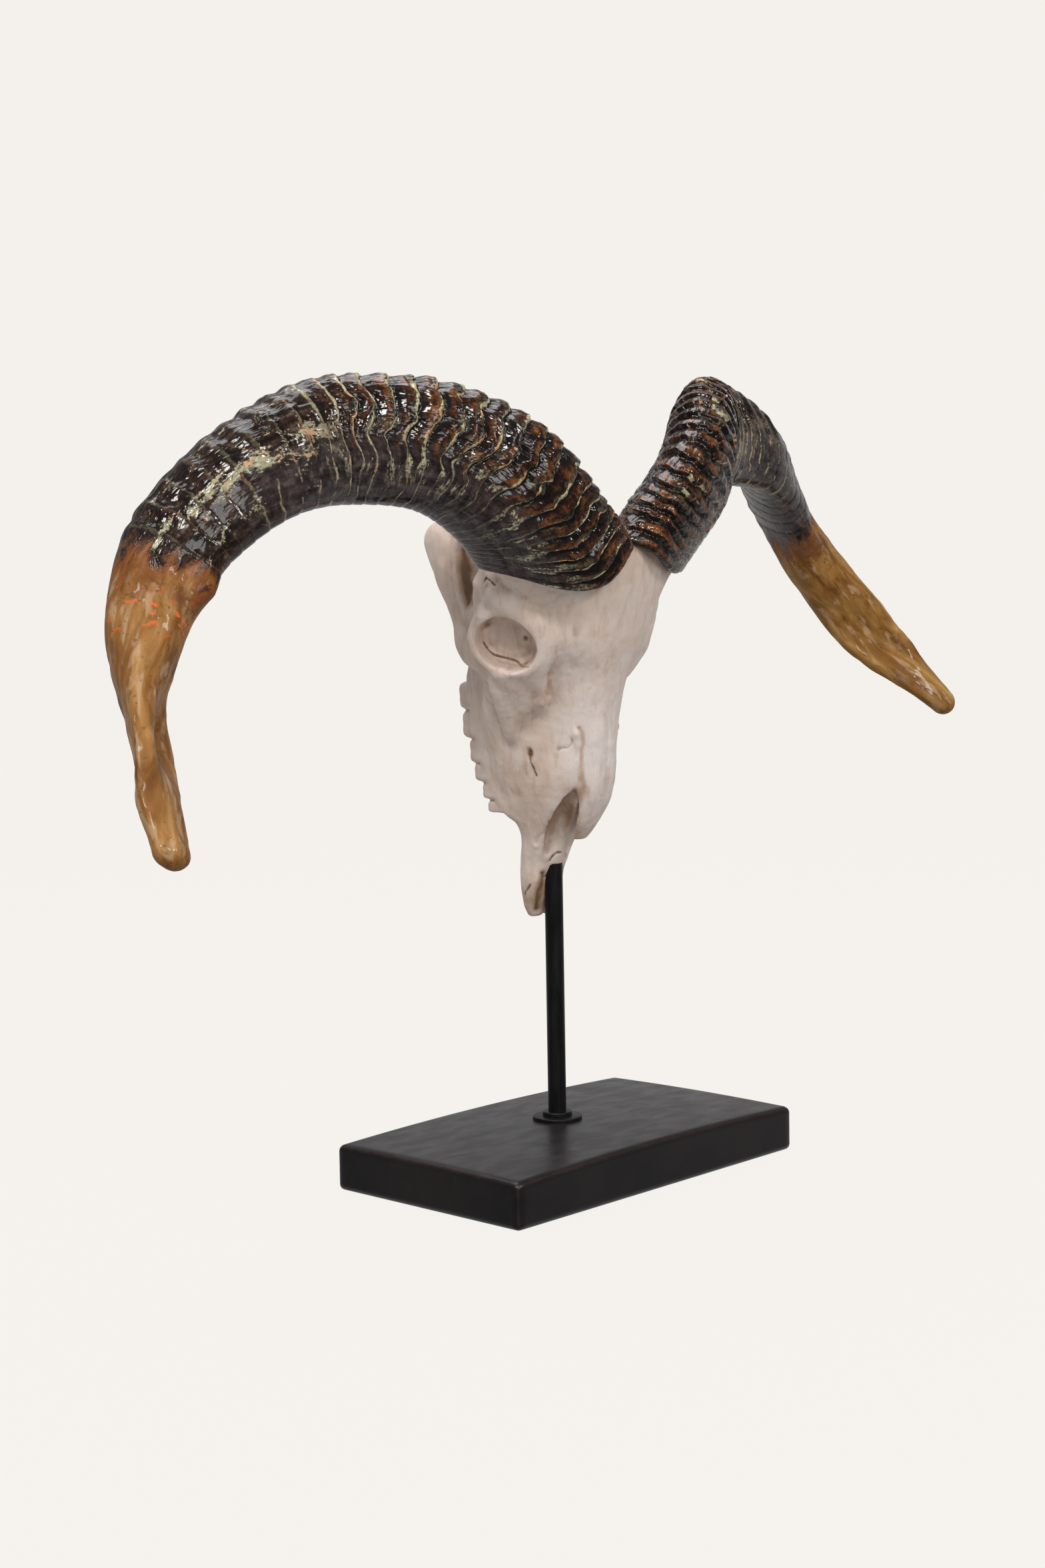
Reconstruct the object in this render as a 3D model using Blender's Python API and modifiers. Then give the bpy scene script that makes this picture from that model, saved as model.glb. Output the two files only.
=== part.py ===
"""Ram skull: a life-size cast-resin ram skull with lacquered horns, held by a rod on a black block.

Metres, +Z up, origin at the centre of the block's underside.  The skull hangs nose down and faces -Y,
and its own right side is at -X.  The skull and horns are modelled about the middle of the horn bases,
upright and symmetric, and an empty there holds their slight roll and turn.  A `side` is -1 for the
animal's right and 1 for its left.
"""

import math

import bmesh
import bpy
import numpy as np
from mathutils import Matrix, Vector

# ---------------------------------------------------------------- driving dimensions
GAP = 0.0003

BLOCK_LENGTH = 0.2725
BLOCK_DEPTH = 0.160
BLOCK_EDGE_HEIGHT = 0.0295
BLOCK_CROWN_LONG = 0.0029
BLOCK_CROWN_SHORT = 0.0011
BLOCK_EASE = 0.0042

ROD_X = -0.003
ROD_Y = 0.009
ROD_RADIUS = 0.006
ROD_TOP = 0.262
FLANGE_RADIUS = 0.01635
FLANGE_HEIGHT = 0.0021
COLLAR_RADIUS = 0.00975
COLLAR_HEIGHT = 0.0026

HEAD_PLACE = (-0.0112, -0.0101, 0.3998)
HEAD_ROLL = math.radians(-3.1)
HEAD_TURN = math.radians(3.0)

# The right horn's centre line from its base to its tip, at even spacing along the horn.
HORN_PATH = (
    (-0.0450, -0.0330, 0.0030),
    (-0.0920, -0.0375, 0.0470),
    (-0.1370, -0.0190, 0.0755),
    (-0.1890, 0.0085, 0.0815),
    (-0.2480, 0.0160, 0.0660),
    (-0.2940, 0.0300, 0.0300),
    (-0.3305, 0.0240, -0.0180),
    (-0.3605, -0.0060, -0.0730),
    (-0.3885, -0.0500, -0.1275),
)
# Half sizes of the oval section and its turn about the centre line, evenly spaced from base to tip.
HORN_LONG_RADIUS = (0.0460, 0.0450, 0.0415, 0.0400, 0.0354, 0.0323, 0.0238, 0.0104, 0.0088)
HORN_SHORT_RADIUS = (0.0275, 0.0267, 0.0250, 0.0236, 0.0226, 0.0208, 0.0216, 0.0232, 0.0124)
HORN_TURN = (50, 60, 86, 116, 122, 160)
# The base edge is cut back on the horn's outer side and has a tongue down the forehead, longer on the
# right horn.
HORN_BASE_SLANT = 0.029
HORN_BASE_SLANT_AT = math.radians(15)
HORN_BASE_TONGUE = {-1: 0.0225, 1: 0.0150}
HORN_BASE_TONGUE_AT = math.radians(100)
HORN_BASE_TONGUE_SPREAD = math.radians(40)
HORN_BASE_START = 0.004
HORN_TIP_ROUND = 0.012
HORN_ROOT = 0.060
HORN_SIDES = 20
HORN_RINGS = 38
HORN_TIP_LIFTS = (0.4, 0.72, 0.93)
HORN_TABLE_ROWS = 200
HORN_JOINTS = (0.30, 0.63)
# The bony core of a horn: where it starts and ends along the horn, and its share of the horn's section there.
CORE_START = -0.045
CORE_END = 0.031
CORE_SHARES = (0.58, 0.85)

# Outlines of the skull without its horns: height, then the lines that the body of the bone follows.
# (z, front, widest, back, half width)
SKULL_STATIONS = (
    (0.034, -0.020, 0.016, 0.050, 0.022),
    (0.026, -0.040, 0.006, 0.056, 0.036),
    (0.012, -0.0560, -0.004, 0.058, 0.046),
    (-0.008, -0.0580, -0.008, 0.056, 0.052),
    (-0.030, -0.0530, -0.008, 0.054, 0.055),
    (-0.050, -0.0480, -0.002, 0.053, 0.053),
    (-0.066, -0.0420, 0.010, 0.053, 0.045),
    (-0.082, -0.0372, 0.024, 0.054, 0.0415),
    (-0.100, -0.0327, 0.028, 0.054, 0.0390),
    (-0.120, -0.0292, 0.028, 0.053, 0.0365),
    (-0.136, -0.0245, 0.027, 0.051, 0.0335),
    (-0.150, -0.0155, 0.026, 0.0462, 0.0295),
    (-0.164, -0.0045, 0.025, 0.0400, 0.0245),
    (-0.178, 0.0070, 0.024, 0.0365, 0.0200),
    (-0.194, 0.0165, 0.028, 0.0400, 0.0175),
    (-0.210, 0.0215, 0.031, 0.0410, 0.0168),
    (-0.223, 0.0255, 0.033, 0.0410, 0.0145),
    (-0.2330, 0.0290, 0.034, 0.0395, 0.0105),
)
SKULL_FRONT_POWER = 2.1
MUZZLE_FRONT_POWER = 3.2
SKULL_BACK_POWER = 2.6

# Rounded masses of bone, as centre and radii, and limbs of bone, as points and a radius for each point.
# Those of the sides are given for the left side.
MIDDLE_MASSES = {
    "braincase": ((0.0, 0.034, -0.004), (0.043, 0.046, 0.040)),
    "poll": ((0.0, 0.058, 0.018), (0.036, 0.026, 0.026)),
}
SKULL_BASE = (((0.0, 0.066, 0.022), (0.0, 0.062, -0.020), (0.0, 0.052, -0.062)), (0.019, 0.017, 0.012))
SIDE_MASSES = {
    "occipital_condyle": ((0.0155, 0.076, 0.030), (0.0115, 0.013, 0.016)),
    "bulla": ((0.026, 0.066, -0.006), (0.011, 0.013, 0.016)),
    "above_orbit": ((0.0600, -0.0010, -0.0140), (0.0145, 0.0150, 0.0160)),
    "behind_orbit": ((0.046, 0.022, -0.034), (0.014, 0.018, 0.024)),
    "before_orbit": ((0.0370, -0.0060, -0.0780), (0.0095, 0.0095, 0.0140)),
}
SIDE_LIMBS = {
    "nuchal_crest": (((0.0, 0.024, 0.034), (0.024, 0.036, 0.031), (0.037, 0.058, 0.020)),
                     (0.008, 0.008, 0.009)),
    "jugular_process": (((0.034, 0.058, 0.024), (0.033, 0.070, 0.016), (0.030, 0.079, 0.000)),
                        (0.012, 0.0085, 0.0055)),
    "brow": (((0.0700, -0.0060, -0.0180), (0.0585, -0.0170, -0.0300), (0.0500, -0.0195, -0.0470),
              (0.0480, -0.0130, -0.0630)), (0.0088, 0.0112, 0.0104, 0.0090)),
    "postorbital_bar": (((0.0710, 0.0060, -0.0290), (0.0610, 0.0080, -0.0160), (0.0500, 0.0060, -0.0020)),
                        (0.0075, 0.0125, 0.0160)),
    "temple": (((0.0400, 0.0420, 0.0160), (0.0450, 0.0370, -0.0080), (0.0480, 0.0270, -0.0320)),
               (0.0110, 0.0120, 0.0120)),
    "lower_rim": (((0.0620, -0.0060, -0.0640), (0.0570, 0.0080, -0.0670), (0.0500, 0.0200, -0.0660)),
                  (0.0055, 0.0070, 0.0090)),
    "under_orbit": (((0.0580, 0.0020, -0.0640), (0.0480, 0.0010, -0.0760), (0.0370, 0.0070, -0.0970)),
                    (0.0100, 0.0085, 0.0040)),
    "tear_edge": (((0.0530, -0.0100, -0.0620), (0.0425, -0.0095, -0.0740), (0.0330, -0.0040, -0.0930)),
                  (0.0085, 0.0074, 0.0040)),
    "cheek": (((0.0550, 0.0090, -0.0680), (0.0475, 0.0120, -0.0850), (0.0390, 0.0170, -0.1080)),
              (0.0095, 0.0088, 0.0050)),
    "cheek_crest": (((0.050, 0.016, -0.064), (0.040, 0.030, -0.088), (0.032, 0.034, -0.116)),
                    (0.0080, 0.0075, 0.0060)),
    "arch": (((0.055, 0.018, -0.062), (0.053, 0.035, -0.050), (0.0460, 0.0455, -0.032),
              (0.0415, 0.0560, -0.008), (0.038, 0.065, 0.018)), (0.0085, 0.0098, 0.0082, 0.0115, 0.0145)),
    "pterygoid": (((0.022, 0.046, -0.066), (0.018, 0.056, -0.050), (0.016, 0.062, -0.030)),
                  (0.0070, 0.0055, 0.0060)),
}

ORBIT_CENTRE = (0.0645, -0.0047, -0.0466)
ORBIT_FACING = math.radians(26)
ORBIT_RISE = math.radians(-12)
ORBIT_RING_RADIUS = 0.0227
ORBIT_RING_THICKNESS = 0.0038
ORBIT_HEIGHT_RATIO = 0.84
ORBIT_OVAL_TURN = math.radians(28)
ORBIT_DEPTH = 0.013
# The tube of bone behind the rim: how far it goes back, and how much wider it is at its foot.
ORBIT_TUBE_DEPTH = 0.030
ORBIT_TUBE_FLARE = 0.004
# The bowl of the socket: share of its depth, and share of its width there.
ORBIT_BOWL = ((-0.77, 1.06), (0.0, 1.0), (0.60, 0.93), (0.92, 0.72), (1.0, 0.45))

# The slots beside the nasal bones and the nose between them are cut along the same slope.
NOSE_TILT = math.radians(-31)
NOTCH_CENTRE = (0.0150, -0.0060, -0.1690)
NOTCH_RADII = (0.0110, 0.0070, 0.0290)
NOSE_CENTRE = (0.0, 0.0000, -0.1750)
NOSE_RADII = (0.0100, 0.0090, 0.0180)
ROD_MOUND_CENTRE = (0.0, 0.0180, -0.1850)
ROD_MOUND_RADII = (0.0085, 0.0085, 0.0160)
MIDDLE_HOLLOWS = {
    "premaxilla_slot": ((0.0, 0.028, -0.222), (0.0022, 0.020, 0.030)),
    "palate": ((0.0, 0.062, -0.108), (0.0150, 0.0145, 0.050)),
    "choanae": ((0.0, 0.058, -0.060), (0.0105, 0.012, 0.022)),
    "foramen_magnum": ((0.0, 0.066, 0.046), (0.0100, 0.0095, 0.016)),
}

TOOTH_GAP = 0.0022
TOOTH_ROW_TOP = -0.0735
TOOTH_ROW_END = -0.1620
TOOTH_SHARES = (1.30, 1.28, 1.12, 0.86, 0.80, 0.64)
TOOTH_DEPTH = 0.018
# The wall of bone that the teeth stand in, as places along the tooth row, and where its front lies.
GUM_START = -0.20
GUM_END = 1.04
GUM_FRONT = 0.022
GUM_FRONT_SLOPE = 0.008
GUM_BELOW_CROWN = 0.0060

CRANIUM_CUT = -0.0725
MUZZLE_CUT = -0.176
NASAL_TOP = -0.078
NASAL_TIP = -0.179
NASAL_HALF_WIDTH = 0.0180
NASAL_CUT_DEPTH = 0.009
# The dorsal line of the nasal bones, then how far they reach sideways and half their thickness, by
# distance down from the horns.
NASAL_FRONT_AT = (0.070, 0.100, 0.120, 0.140, 0.154, 0.166, 0.175, 0.181)
NASAL_FRONT = (-0.0398, -0.0343, -0.0318, -0.0290, -0.0246, -0.0176, -0.0106, -0.0045)
NASAL_EDGE_AT = (0.070, 0.140, 0.148, 0.158, 0.170, 0.178, 0.181)
NASAL_EDGE = (0.0178, 0.0175, 0.0160, 0.0140, 0.0102, 0.0066, 0.0046)
NASAL_THICKNESS = (0.0090, 0.0080, 0.0052, 0.0036, 0.0032, 0.0028, 0.0020)
NASAL_ROOF_SLOPE = 0.26

VOXEL = 0.0020
SKULL_TRIANGLES = 3450


# ---------------------------------------------------------------- scene, materials, small tools
def clear_scene():
    for obj in list(bpy.data.objects):
        bpy.data.objects.remove(obj, do_unlink=True)


def new_collection(name, parent=None):
    collection = bpy.data.collections.new(name)
    (parent or bpy.context.scene.collection).children.link(collection)
    return collection


def material(name, colour, roughness, metallic=0.0):
    made = bpy.data.materials.new(name)
    made.use_nodes = True
    shader = made.node_tree.nodes["Principled BSDF"]
    shader.inputs["Base Color"].default_value = (*colour, 1.0)
    shader.inputs["Roughness"].default_value = roughness
    shader.inputs["Metallic"].default_value = metallic
    return made


def new_object(name, mesh, collection, finish=None):
    obj = bpy.data.objects.new(name, mesh)
    collection.objects.link(obj)
    if finish:
        mesh.materials.clear()
        mesh.materials.append(finish)
    return obj


def mesh_from(bm, name):
    bmesh.ops.recalc_face_normals(bm, faces=bm.faces)
    mesh = bpy.data.meshes.new(name)
    bm.to_mesh(mesh)
    bm.free()
    return mesh


def evaluated_mesh(obj, name):
    """The object's mesh with its modifiers applied, as a new mesh."""
    bpy.context.view_layer.update()
    graph = bpy.context.evaluated_depsgraph_get()
    return bpy.data.meshes.new_from_object(obj.evaluated_get(graph), depsgraph=graph).copy()


def shade_smooth(mesh, angle=math.radians(38)):
    mesh.shade_smooth()
    mesh.set_sharp_from_angle(angle=angle)


def boolean(obj, cutter, operation="DIFFERENCE"):
    modifier = obj.modifiers.new(operation.title(), "BOOLEAN")
    modifier.operation = operation
    modifier.solver = "EXACT"
    modifier.object = cutter


def helper(name, mesh, collection):
    """An object that only shapes others, and stays out of the render."""
    obj = new_object(name, mesh, collection)
    obj.hide_render = True
    obj.display_type = "WIRE"
    return obj


def smooth_curve(values, count):
    """Points on the smooth curve through evenly spaced values, at `count` even places."""
    values = np.asarray(values, float)
    slopes = np.gradient(values, axis=0)
    place = np.linspace(0.0, len(values) - 1.0, count)
    index = np.minimum(place.astype(int), len(values) - 2)
    t = (place - index).reshape((-1,) + (1,) * (values.ndim - 1))
    start, end = values[index], values[index + 1]
    start_slope, end_slope = slopes[index], slopes[index + 1]
    return (
        start * (1 + 2 * t) * (1 - t) ** 2
        + start_slope * t * (1 - t) ** 2
        + end * t * t * (3 - 2 * t)
        - end_slope * t * t * (1 - t)
    )


def lofted(bm, rings):
    """Skin a row of closed rings, with a cap of triangles round the middle of each end."""
    rows = [[bm.verts.new(point) for point in ring] for ring in rings]
    count = len(rows[0])
    for lower, upper in zip(rows, rows[1:]):
        for i in range(count):
            j = (i + 1) % count
            bm.faces.new((lower[i], lower[j], upper[j], upper[i]))
    for row in (rows[0], rows[-1]):
        middle = bm.verts.new(sum((vert.co for vert in row), Vector()) / count)
        for i in range(count):
            bm.faces.new((row[i], row[(i + 1) % count], middle))


# ---------------------------------------------------------------- stand
def block_top(x, y):
    """Height of the block's crowned top."""
    along = 1 - (2 * x / BLOCK_LENGTH) ** 2
    across = 1 - (2 * y / BLOCK_DEPTH) ** 2
    return BLOCK_EDGE_HEIGHT + BLOCK_CROWN_LONG * along + BLOCK_CROWN_SHORT * across


SEAT_HEIGHT = block_top(ROD_X, ROD_Y) - 0.0002


def make_block(collection, cutters, finish):
    bm = bmesh.new()
    bmesh.ops.create_cube(bm, size=1.0)
    bmesh.ops.subdivide_edges(bm, edges=bm.edges[:], cuts=3, use_grid_fill=True)
    for vert in bm.verts:
        x = vert.co.x * BLOCK_LENGTH
        y = vert.co.y * BLOCK_DEPTH
        vert.co = Vector((x, y, (vert.co.z + 0.5) * block_top(x, y)))
    block = new_object("stand_block", mesh_from(bm, "stand_block"), collection, finish)
    bevel = block.modifiers.new("Bevel", "BEVEL")
    bevel.width = BLOCK_EASE
    bevel.segments = 2
    bevel.limit_method = "ANGLE"
    bevel.angle_limit = math.radians(40)
    seat = bmesh.new()
    bmesh.ops.create_cone(seat, cap_ends=True, segments=40, radius1=FLANGE_RADIUS + GAP,
                          radius2=FLANGE_RADIUS + GAP, depth=0.02)
    cutter = helper("cut_flange_seat", mesh_from(seat, "cut_flange_seat"), cutters)
    cutter.location = (ROD_X, ROD_Y, SEAT_HEIGHT + 0.01)
    boolean(block, cutter)
    shade_smooth(block.data)


def turned(name, profile, collection, finish, steps=28):
    """A round piece on the rod's axis, turned from (radius, height) points that run down its outer side."""
    bm = bmesh.new()
    verts = [bm.verts.new((radius, 0.0, height)) for radius, height in profile]
    for i, vert in enumerate(verts):
        following = verts[(i + 1) % len(verts)]
        bm.edges.new((vert, following))
    mesh = bpy.data.meshes.new(name)
    bm.to_mesh(mesh)
    bm.free()
    obj = new_object(name, mesh, collection, finish)
    screw = obj.modifiers.new("Screw", "SCREW")
    screw.steps = steps
    screw.render_steps = steps
    screw.use_merge_vertices = True
    screw.merge_threshold = 0.00001
    obj.location = (ROD_X, ROD_Y, 0.0)


def washer_profile(inner, outer, bottom, top, ease):
    return (
        (inner, top),
        (outer - ease, top),
        (outer - ease * 0.3, top - ease * 0.3),
        (outer, top - ease),
        (outer, bottom),
        (inner, bottom),
    )


def make_rod(collection, finish):
    bottom = SEAT_HEIGHT + GAP
    bm = bmesh.new()
    bmesh.ops.create_cone(bm, cap_ends=True, segments=28, radius1=ROD_RADIUS, radius2=ROD_RADIUS,
                          depth=ROD_TOP - bottom)
    rod = new_object("stand_rod", mesh_from(bm, "stand_rod"), collection, finish)
    rod.location = (ROD_X, ROD_Y, (ROD_TOP + bottom) / 2)
    shade_smooth(rod.data)


def make_stand(collection, cutters, block_finish, metal_finish):
    make_block(collection, cutters, block_finish)
    hole = ROD_RADIUS + GAP
    flange_bottom = SEAT_HEIGHT + GAP
    flange_top = flange_bottom + FLANGE_HEIGHT
    collar_bottom = flange_top + GAP
    turned("stand_flange",
           washer_profile(hole, FLANGE_RADIUS, flange_bottom, flange_top, 0.0008),
           collection, metal_finish)
    turned("stand_collar",
           washer_profile(hole, COLLAR_RADIUS, collar_bottom, collar_bottom + COLLAR_HEIGHT, 0.0008),
           collection, metal_finish, steps=24)
    make_rod(collection, metal_finish)


# ---------------------------------------------------------------- horns
def horn_table():
    """Distances along the right horn, and there its centre, two section directions and two half sizes."""
    count = HORN_TABLE_ROWS
    centres = smooth_curve(HORN_PATH, count)
    tangents = np.gradient(centres, axis=0)
    tangents /= np.linalg.norm(tangents, axis=1)[:, None]
    across = np.array((0.0, 1.0, 0.0))
    first = []
    for tangent in tangents:
        across = across - tangent * across.dot(tangent)
        across /= np.linalg.norm(across)
        first.append(across)
    first = np.array(first)
    second = np.cross(tangents, first)
    turn = np.radians(smooth_curve(HORN_TURN, count))[:, None]
    long_axis = np.cos(turn) * first + np.sin(turn) * second
    short_axis = np.cross(tangents, long_axis)
    sizes = np.stack([smooth_curve(HORN_LONG_RADIUS, count), smooth_curve(HORN_SHORT_RADIUS, count)], axis=1)
    steps = np.linalg.norm(np.diff(centres, axis=0), axis=1)
    distance = np.concatenate(((0.0,), np.cumsum(steps)))
    table = np.hstack([centres, long_axis, short_axis, sizes])
    root = table[0].copy()
    root[:3] -= tangents[0] * HORN_ROOT
    return np.concatenate(((-HORN_ROOT,), distance)), np.vstack([root, table])


def horn_section(distance, table, where, angle, grow=0.0):
    """The surface point at distance `where` along the horn and `angle` round its section."""
    row = [np.interp(where, distance, table[:, k]) for k in range(table.shape[1])]
    centre, long_axis, short_axis = (np.array(row[k:k + 3]) for k in (0, 3, 6))
    return (centre + math.cos(angle) * (row[9] + grow) * long_axis
            + math.sin(angle) * (row[10] + grow) * short_axis)


def base_shift(side, angle):
    """How far along the horn its base edge lies, at this angle round the section."""
    off_tongue = math.remainder(angle - HORN_BASE_TONGUE_AT, 2 * math.pi) / HORN_BASE_TONGUE_SPREAD
    return (HORN_BASE_START + HORN_BASE_SLANT * math.cos(angle - HORN_BASE_SLANT_AT)
            - HORN_BASE_TONGUE[side] * math.exp(-off_tongue * off_tongue))


def horn_rings(side, count, sides, grow=0.0):
    """Rings of a horn as if it were the right one, from its slanted base edge to its rounded tip."""
    distance, table = horn_table()
    length = distance[-1]
    angles = np.linspace(0.0, 2 * math.pi, sides, endpoint=False)
    rings = []
    for share in np.linspace(0.0, 1.0, count):
        fade = (1 - share) ** 3
        ring = np.array([
            horn_section(distance, table, share * length + fade * (base_shift(side, angle) - 2 * grow), angle, grow)
            for angle in angles
        ])
        ring[:, 0] = np.minimum(ring[:, 0], 2 * grow - GAP)
        rings.append(ring)
    centre = table[-1, :3]
    tip_direction = centre - table[-4, :3]
    tip_direction /= np.linalg.norm(tip_direction)
    last = rings[-1] - centre
    for lift in HORN_TIP_LIFTS:
        shrink = math.sqrt(1 - lift * lift)
        rings.append(centre + tip_direction * (HORN_TIP_ROUND + grow) * lift + last * shrink)
    return rings


def horn_mesh(name, side, rings):
    """A closed solid through rings of the right horn, mirrored where the side is the left."""
    bm = bmesh.new()
    lofted(bm, [[(-side * x, y, z) for x, y, z in ring] for ring in rings])
    return mesh_from(bm, name)


def horn_lengths(side, name, collection, pose, finish):
    """The horn as three lengths that meet end to end across a thin gap."""
    rings = horn_rings(side, HORN_RINGS, HORN_SIDES)
    cuts = [round(joint * (HORN_RINGS - 1)) for joint in HORN_JOINTS]
    spans = ((0, cuts[0]), (cuts[0], cuts[1]), (cuts[1], len(rings) - 1))
    for (start, end), label in zip(spans, ("base", "arch", "tip")):
        part = [np.array(ring) for ring in rings[start:end + 1]]
        if start:
            along = part[1].mean(axis=0) - part[0].mean(axis=0)
            part[0] = part[0] + along / np.linalg.norm(along) * GAP
        mesh = horn_mesh(f"{name}_{label}", side, part)
        shade_smooth(mesh)
        obj = new_object(f"{name}_{label}", mesh, collection, finish[label])
        obj.parent = pose


# ---------------------------------------------------------------- skull forms
def add_ellipsoid(bm, centre, radii, rotation=Matrix.Identity(3), sides=24):
    matrix = Matrix.Translation(centre) @ rotation.to_4x4() @ Matrix.Diagonal((*radii, 1.0))
    bmesh.ops.create_uvsphere(bm, u_segments=sides, v_segments=sides // 2, radius=1.0, matrix=matrix)


def add_block(bm, centre, size):
    matrix = Matrix.Translation(centre) @ Matrix.Diagonal((*size, 1.0))
    bmesh.ops.create_cube(bm, size=1.0, matrix=matrix)


def add_limb(bm, points, radii, sides=14):
    """A tapering round limb through the points, such as a bony arch or process."""
    points = np.asarray(points, float)
    count = 4 * len(points)
    centres = smooth_curve(points, count)
    sizes = smooth_curve(radii, count)
    tangents = np.gradient(centres, axis=0)
    tangents /= np.linalg.norm(tangents, axis=1)[:, None]
    across = np.array((0.31, 0.45, 0.84))
    angles = np.linspace(0.0, 2 * math.pi, sides, endpoint=False)
    rings = []
    for centre, tangent, size in zip(centres, tangents, sizes):
        across = across - tangent * across.dot(tangent)
        across /= np.linalg.norm(across)
        up = np.cross(tangent, across)
        rings.append([centre + size * (math.cos(a) * across + math.sin(a) * up) for a in angles])
    lofted(bm, rings)
    for centre, size in ((centres[0], sizes[0]), (centres[-1], sizes[-1])):
        add_ellipsoid(bm, centre, (size, size, size), sides=12)


def mirrored(point, side):
    """A point given on the left (+X) side, moved to the side asked for."""
    return Vector((side * point[0], point[1], point[2]))


def orbit_matrix(side):
    """Stands a ring in the orbit's plane: its axis looks out of the socket."""
    facing = Vector((side * math.cos(ORBIT_FACING), -math.sin(ORBIT_FACING), math.sin(ORBIT_RISE)))
    facing.normalize()
    upward = Vector((0, 0, 1)) - facing * facing.z
    upward.normalize()
    sideways = upward.cross(facing)
    turn = Matrix((sideways, upward, facing)).transposed().to_4x4()
    oval_turn = Matrix.Rotation(side * ORBIT_OVAL_TURN, 4, "Z")
    return Matrix.Translation(mirrored(ORBIT_CENTRE, side)) @ turn @ oval_turn


def orbit_oval(matrix, radius, drop, around=32):
    """An oval ring of points round the orbit's axis, `drop` behind the rim."""
    return [matrix @ Vector((radius * math.cos(a), radius * ORBIT_HEIGHT_RATIO * math.sin(a), -drop))
            for a in np.linspace(0.0, 2 * math.pi, around, endpoint=False)]


def add_orbit_ring(bm, side):
    """The raised rim of the eye socket and the tube of bone behind it."""
    matrix = orbit_matrix(side)
    around = 32
    rings = []
    for depth in (1.0, 0.5, 0.0):
        radius = ORBIT_RING_RADIUS + ORBIT_TUBE_FLARE * depth ** 1.5 + ORBIT_RING_THICKNESS * 0.6
        rings.append(orbit_oval(matrix, radius, ORBIT_TUBE_DEPTH * depth, around))
    lofted(bm, rings)
    tube_rings = []
    for a in np.linspace(0.0, 2 * math.pi, around, endpoint=False):
        out = Vector((math.cos(a), math.sin(a) * ORBIT_HEIGHT_RATIO, 0.0))
        centre = out * ORBIT_RING_RADIUS
        tube_rings.append([
            matrix @ (centre + ORBIT_RING_THICKNESS
                      * (out.normalized() * math.cos(b) + Vector((0, 0, 1)) * math.sin(b)))
            for b in np.linspace(0.0, 2 * math.pi, 10, endpoint=False)
        ])
    rows = [[bm.verts.new(point) for point in ring] for ring in tube_rings]
    for i, row in enumerate(rows):
        following = rows[(i + 1) % around]
        for j in range(10):
            k = (j + 1) % 10
            bm.faces.new((row[j], row[k], following[k], following[j]))


def add_body(bm):
    """The long body of the skull, lofted from the poll down to the end of the premaxillae."""
    stations = smooth_curve(SKULL_STATIONS, 70)
    angles = np.linspace(0.0, 2 * math.pi, 40, endpoint=False)
    rings = []
    for z, front, widest, back, half_width in stations:
        ring = []
        front_power = float(np.interp(-z, (0.12, 0.16), (SKULL_FRONT_POWER, MUZZLE_FRONT_POWER)))
        for a in angles:
            c, s = math.cos(a), math.sin(a)
            power = front_power if s < 0 else SKULL_BACK_POWER
            reach = widest - front if s < 0 else back - widest
            x = half_width * math.copysign(abs(c) ** (2 / power), c)
            y = widest + reach * math.copysign(abs(s) ** (2 / power), s)
            ring.append((x, y, z))
        rings.append(ring)
    lofted(bm, rings)


def add_bones(bm):
    """The braincase, and on both sides the brow, cheek, arch and the knobs round the foramen."""
    for centre, radii in MIDDLE_MASSES.values():
        add_ellipsoid(bm, centre, radii, sides=30)
    add_limb(bm, *SKULL_BASE)
    for side in (-1, 1):
        for centre, radii in SIDE_MASSES.values():
            add_ellipsoid(bm, mirrored(centre, side), radii)
        for points, radii in SIDE_LIMBS.values():
            add_limb(bm, [mirrored(point, side) for point in points], radii)


def tooth_line(place):
    """Centre and half width of the tooth row, from its top (0) to its end (1)."""
    z = TOOTH_ROW_TOP + (TOOTH_ROW_END - TOOTH_ROW_TOP) * place
    x = 0.0295 - 0.0090 * place ** 1.4
    crown = 0.0652 - 0.0136 * place ** 2.4
    width = 0.0075 - 0.0025 * place
    return x, crown, z, width


def pillow_ring(centre, half_x, half_y):
    """One level section of a square with round corners."""
    ring = []
    for a in np.linspace(0.0, 2 * math.pi, 16, endpoint=False):
        c, s = math.cos(a), math.sin(a)
        ring.append(centre + Vector((half_x * math.copysign(math.sqrt(abs(c)), c),
                                     half_y * math.copysign(math.sqrt(abs(s)), s), 0.0)))
    return ring


def add_gums(bm):
    """The wall of bone that the teeth stand in, which carries the flat of the cheek back to them."""
    for side in (-1, 1):
        rings = []
        for place in np.linspace(GUM_START, GUM_END, 14):
            x, crown, z, width = tooth_line(max(place, 0.0))
            z += (TOOTH_ROW_END - TOOTH_ROW_TOP) * min(place, 0.0)
            front = GUM_FRONT + GUM_FRONT_SLOPE * place
            ending = max(0.0, place / GUM_START, (place - 0.80) / (GUM_END - 0.80))
            back = crown - GUM_BELOW_CROWN - 0.008 * ending ** 2
            rings.append(pillow_ring(mirrored((x - 0.0007, (front + back) / 2, z), side),
                                     width + 0.0013, (back - front) / 2))
        lofted(bm, rings)


def add_teeth(bm):
    """Six cheek teeth a side: three large molars above, three smaller premolars below."""
    shares = np.array(TOOTH_SHARES)
    edges = np.concatenate(((0.0,), np.cumsum(shares) / shares.sum()))
    for side in (-1, 1):
        for upper, lower in zip(edges, edges[1:]):
            x, crown, z, width = tooth_line((upper + lower) / 2)
            height = (lower - upper) * (TOOTH_ROW_TOP - TOOTH_ROW_END) - TOOTH_GAP
            centre = mirrored((x, crown - TOOTH_DEPTH / 2, z), side)
            add_block(bm, centre, (2 * width, TOOTH_DEPTH, height))


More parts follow.
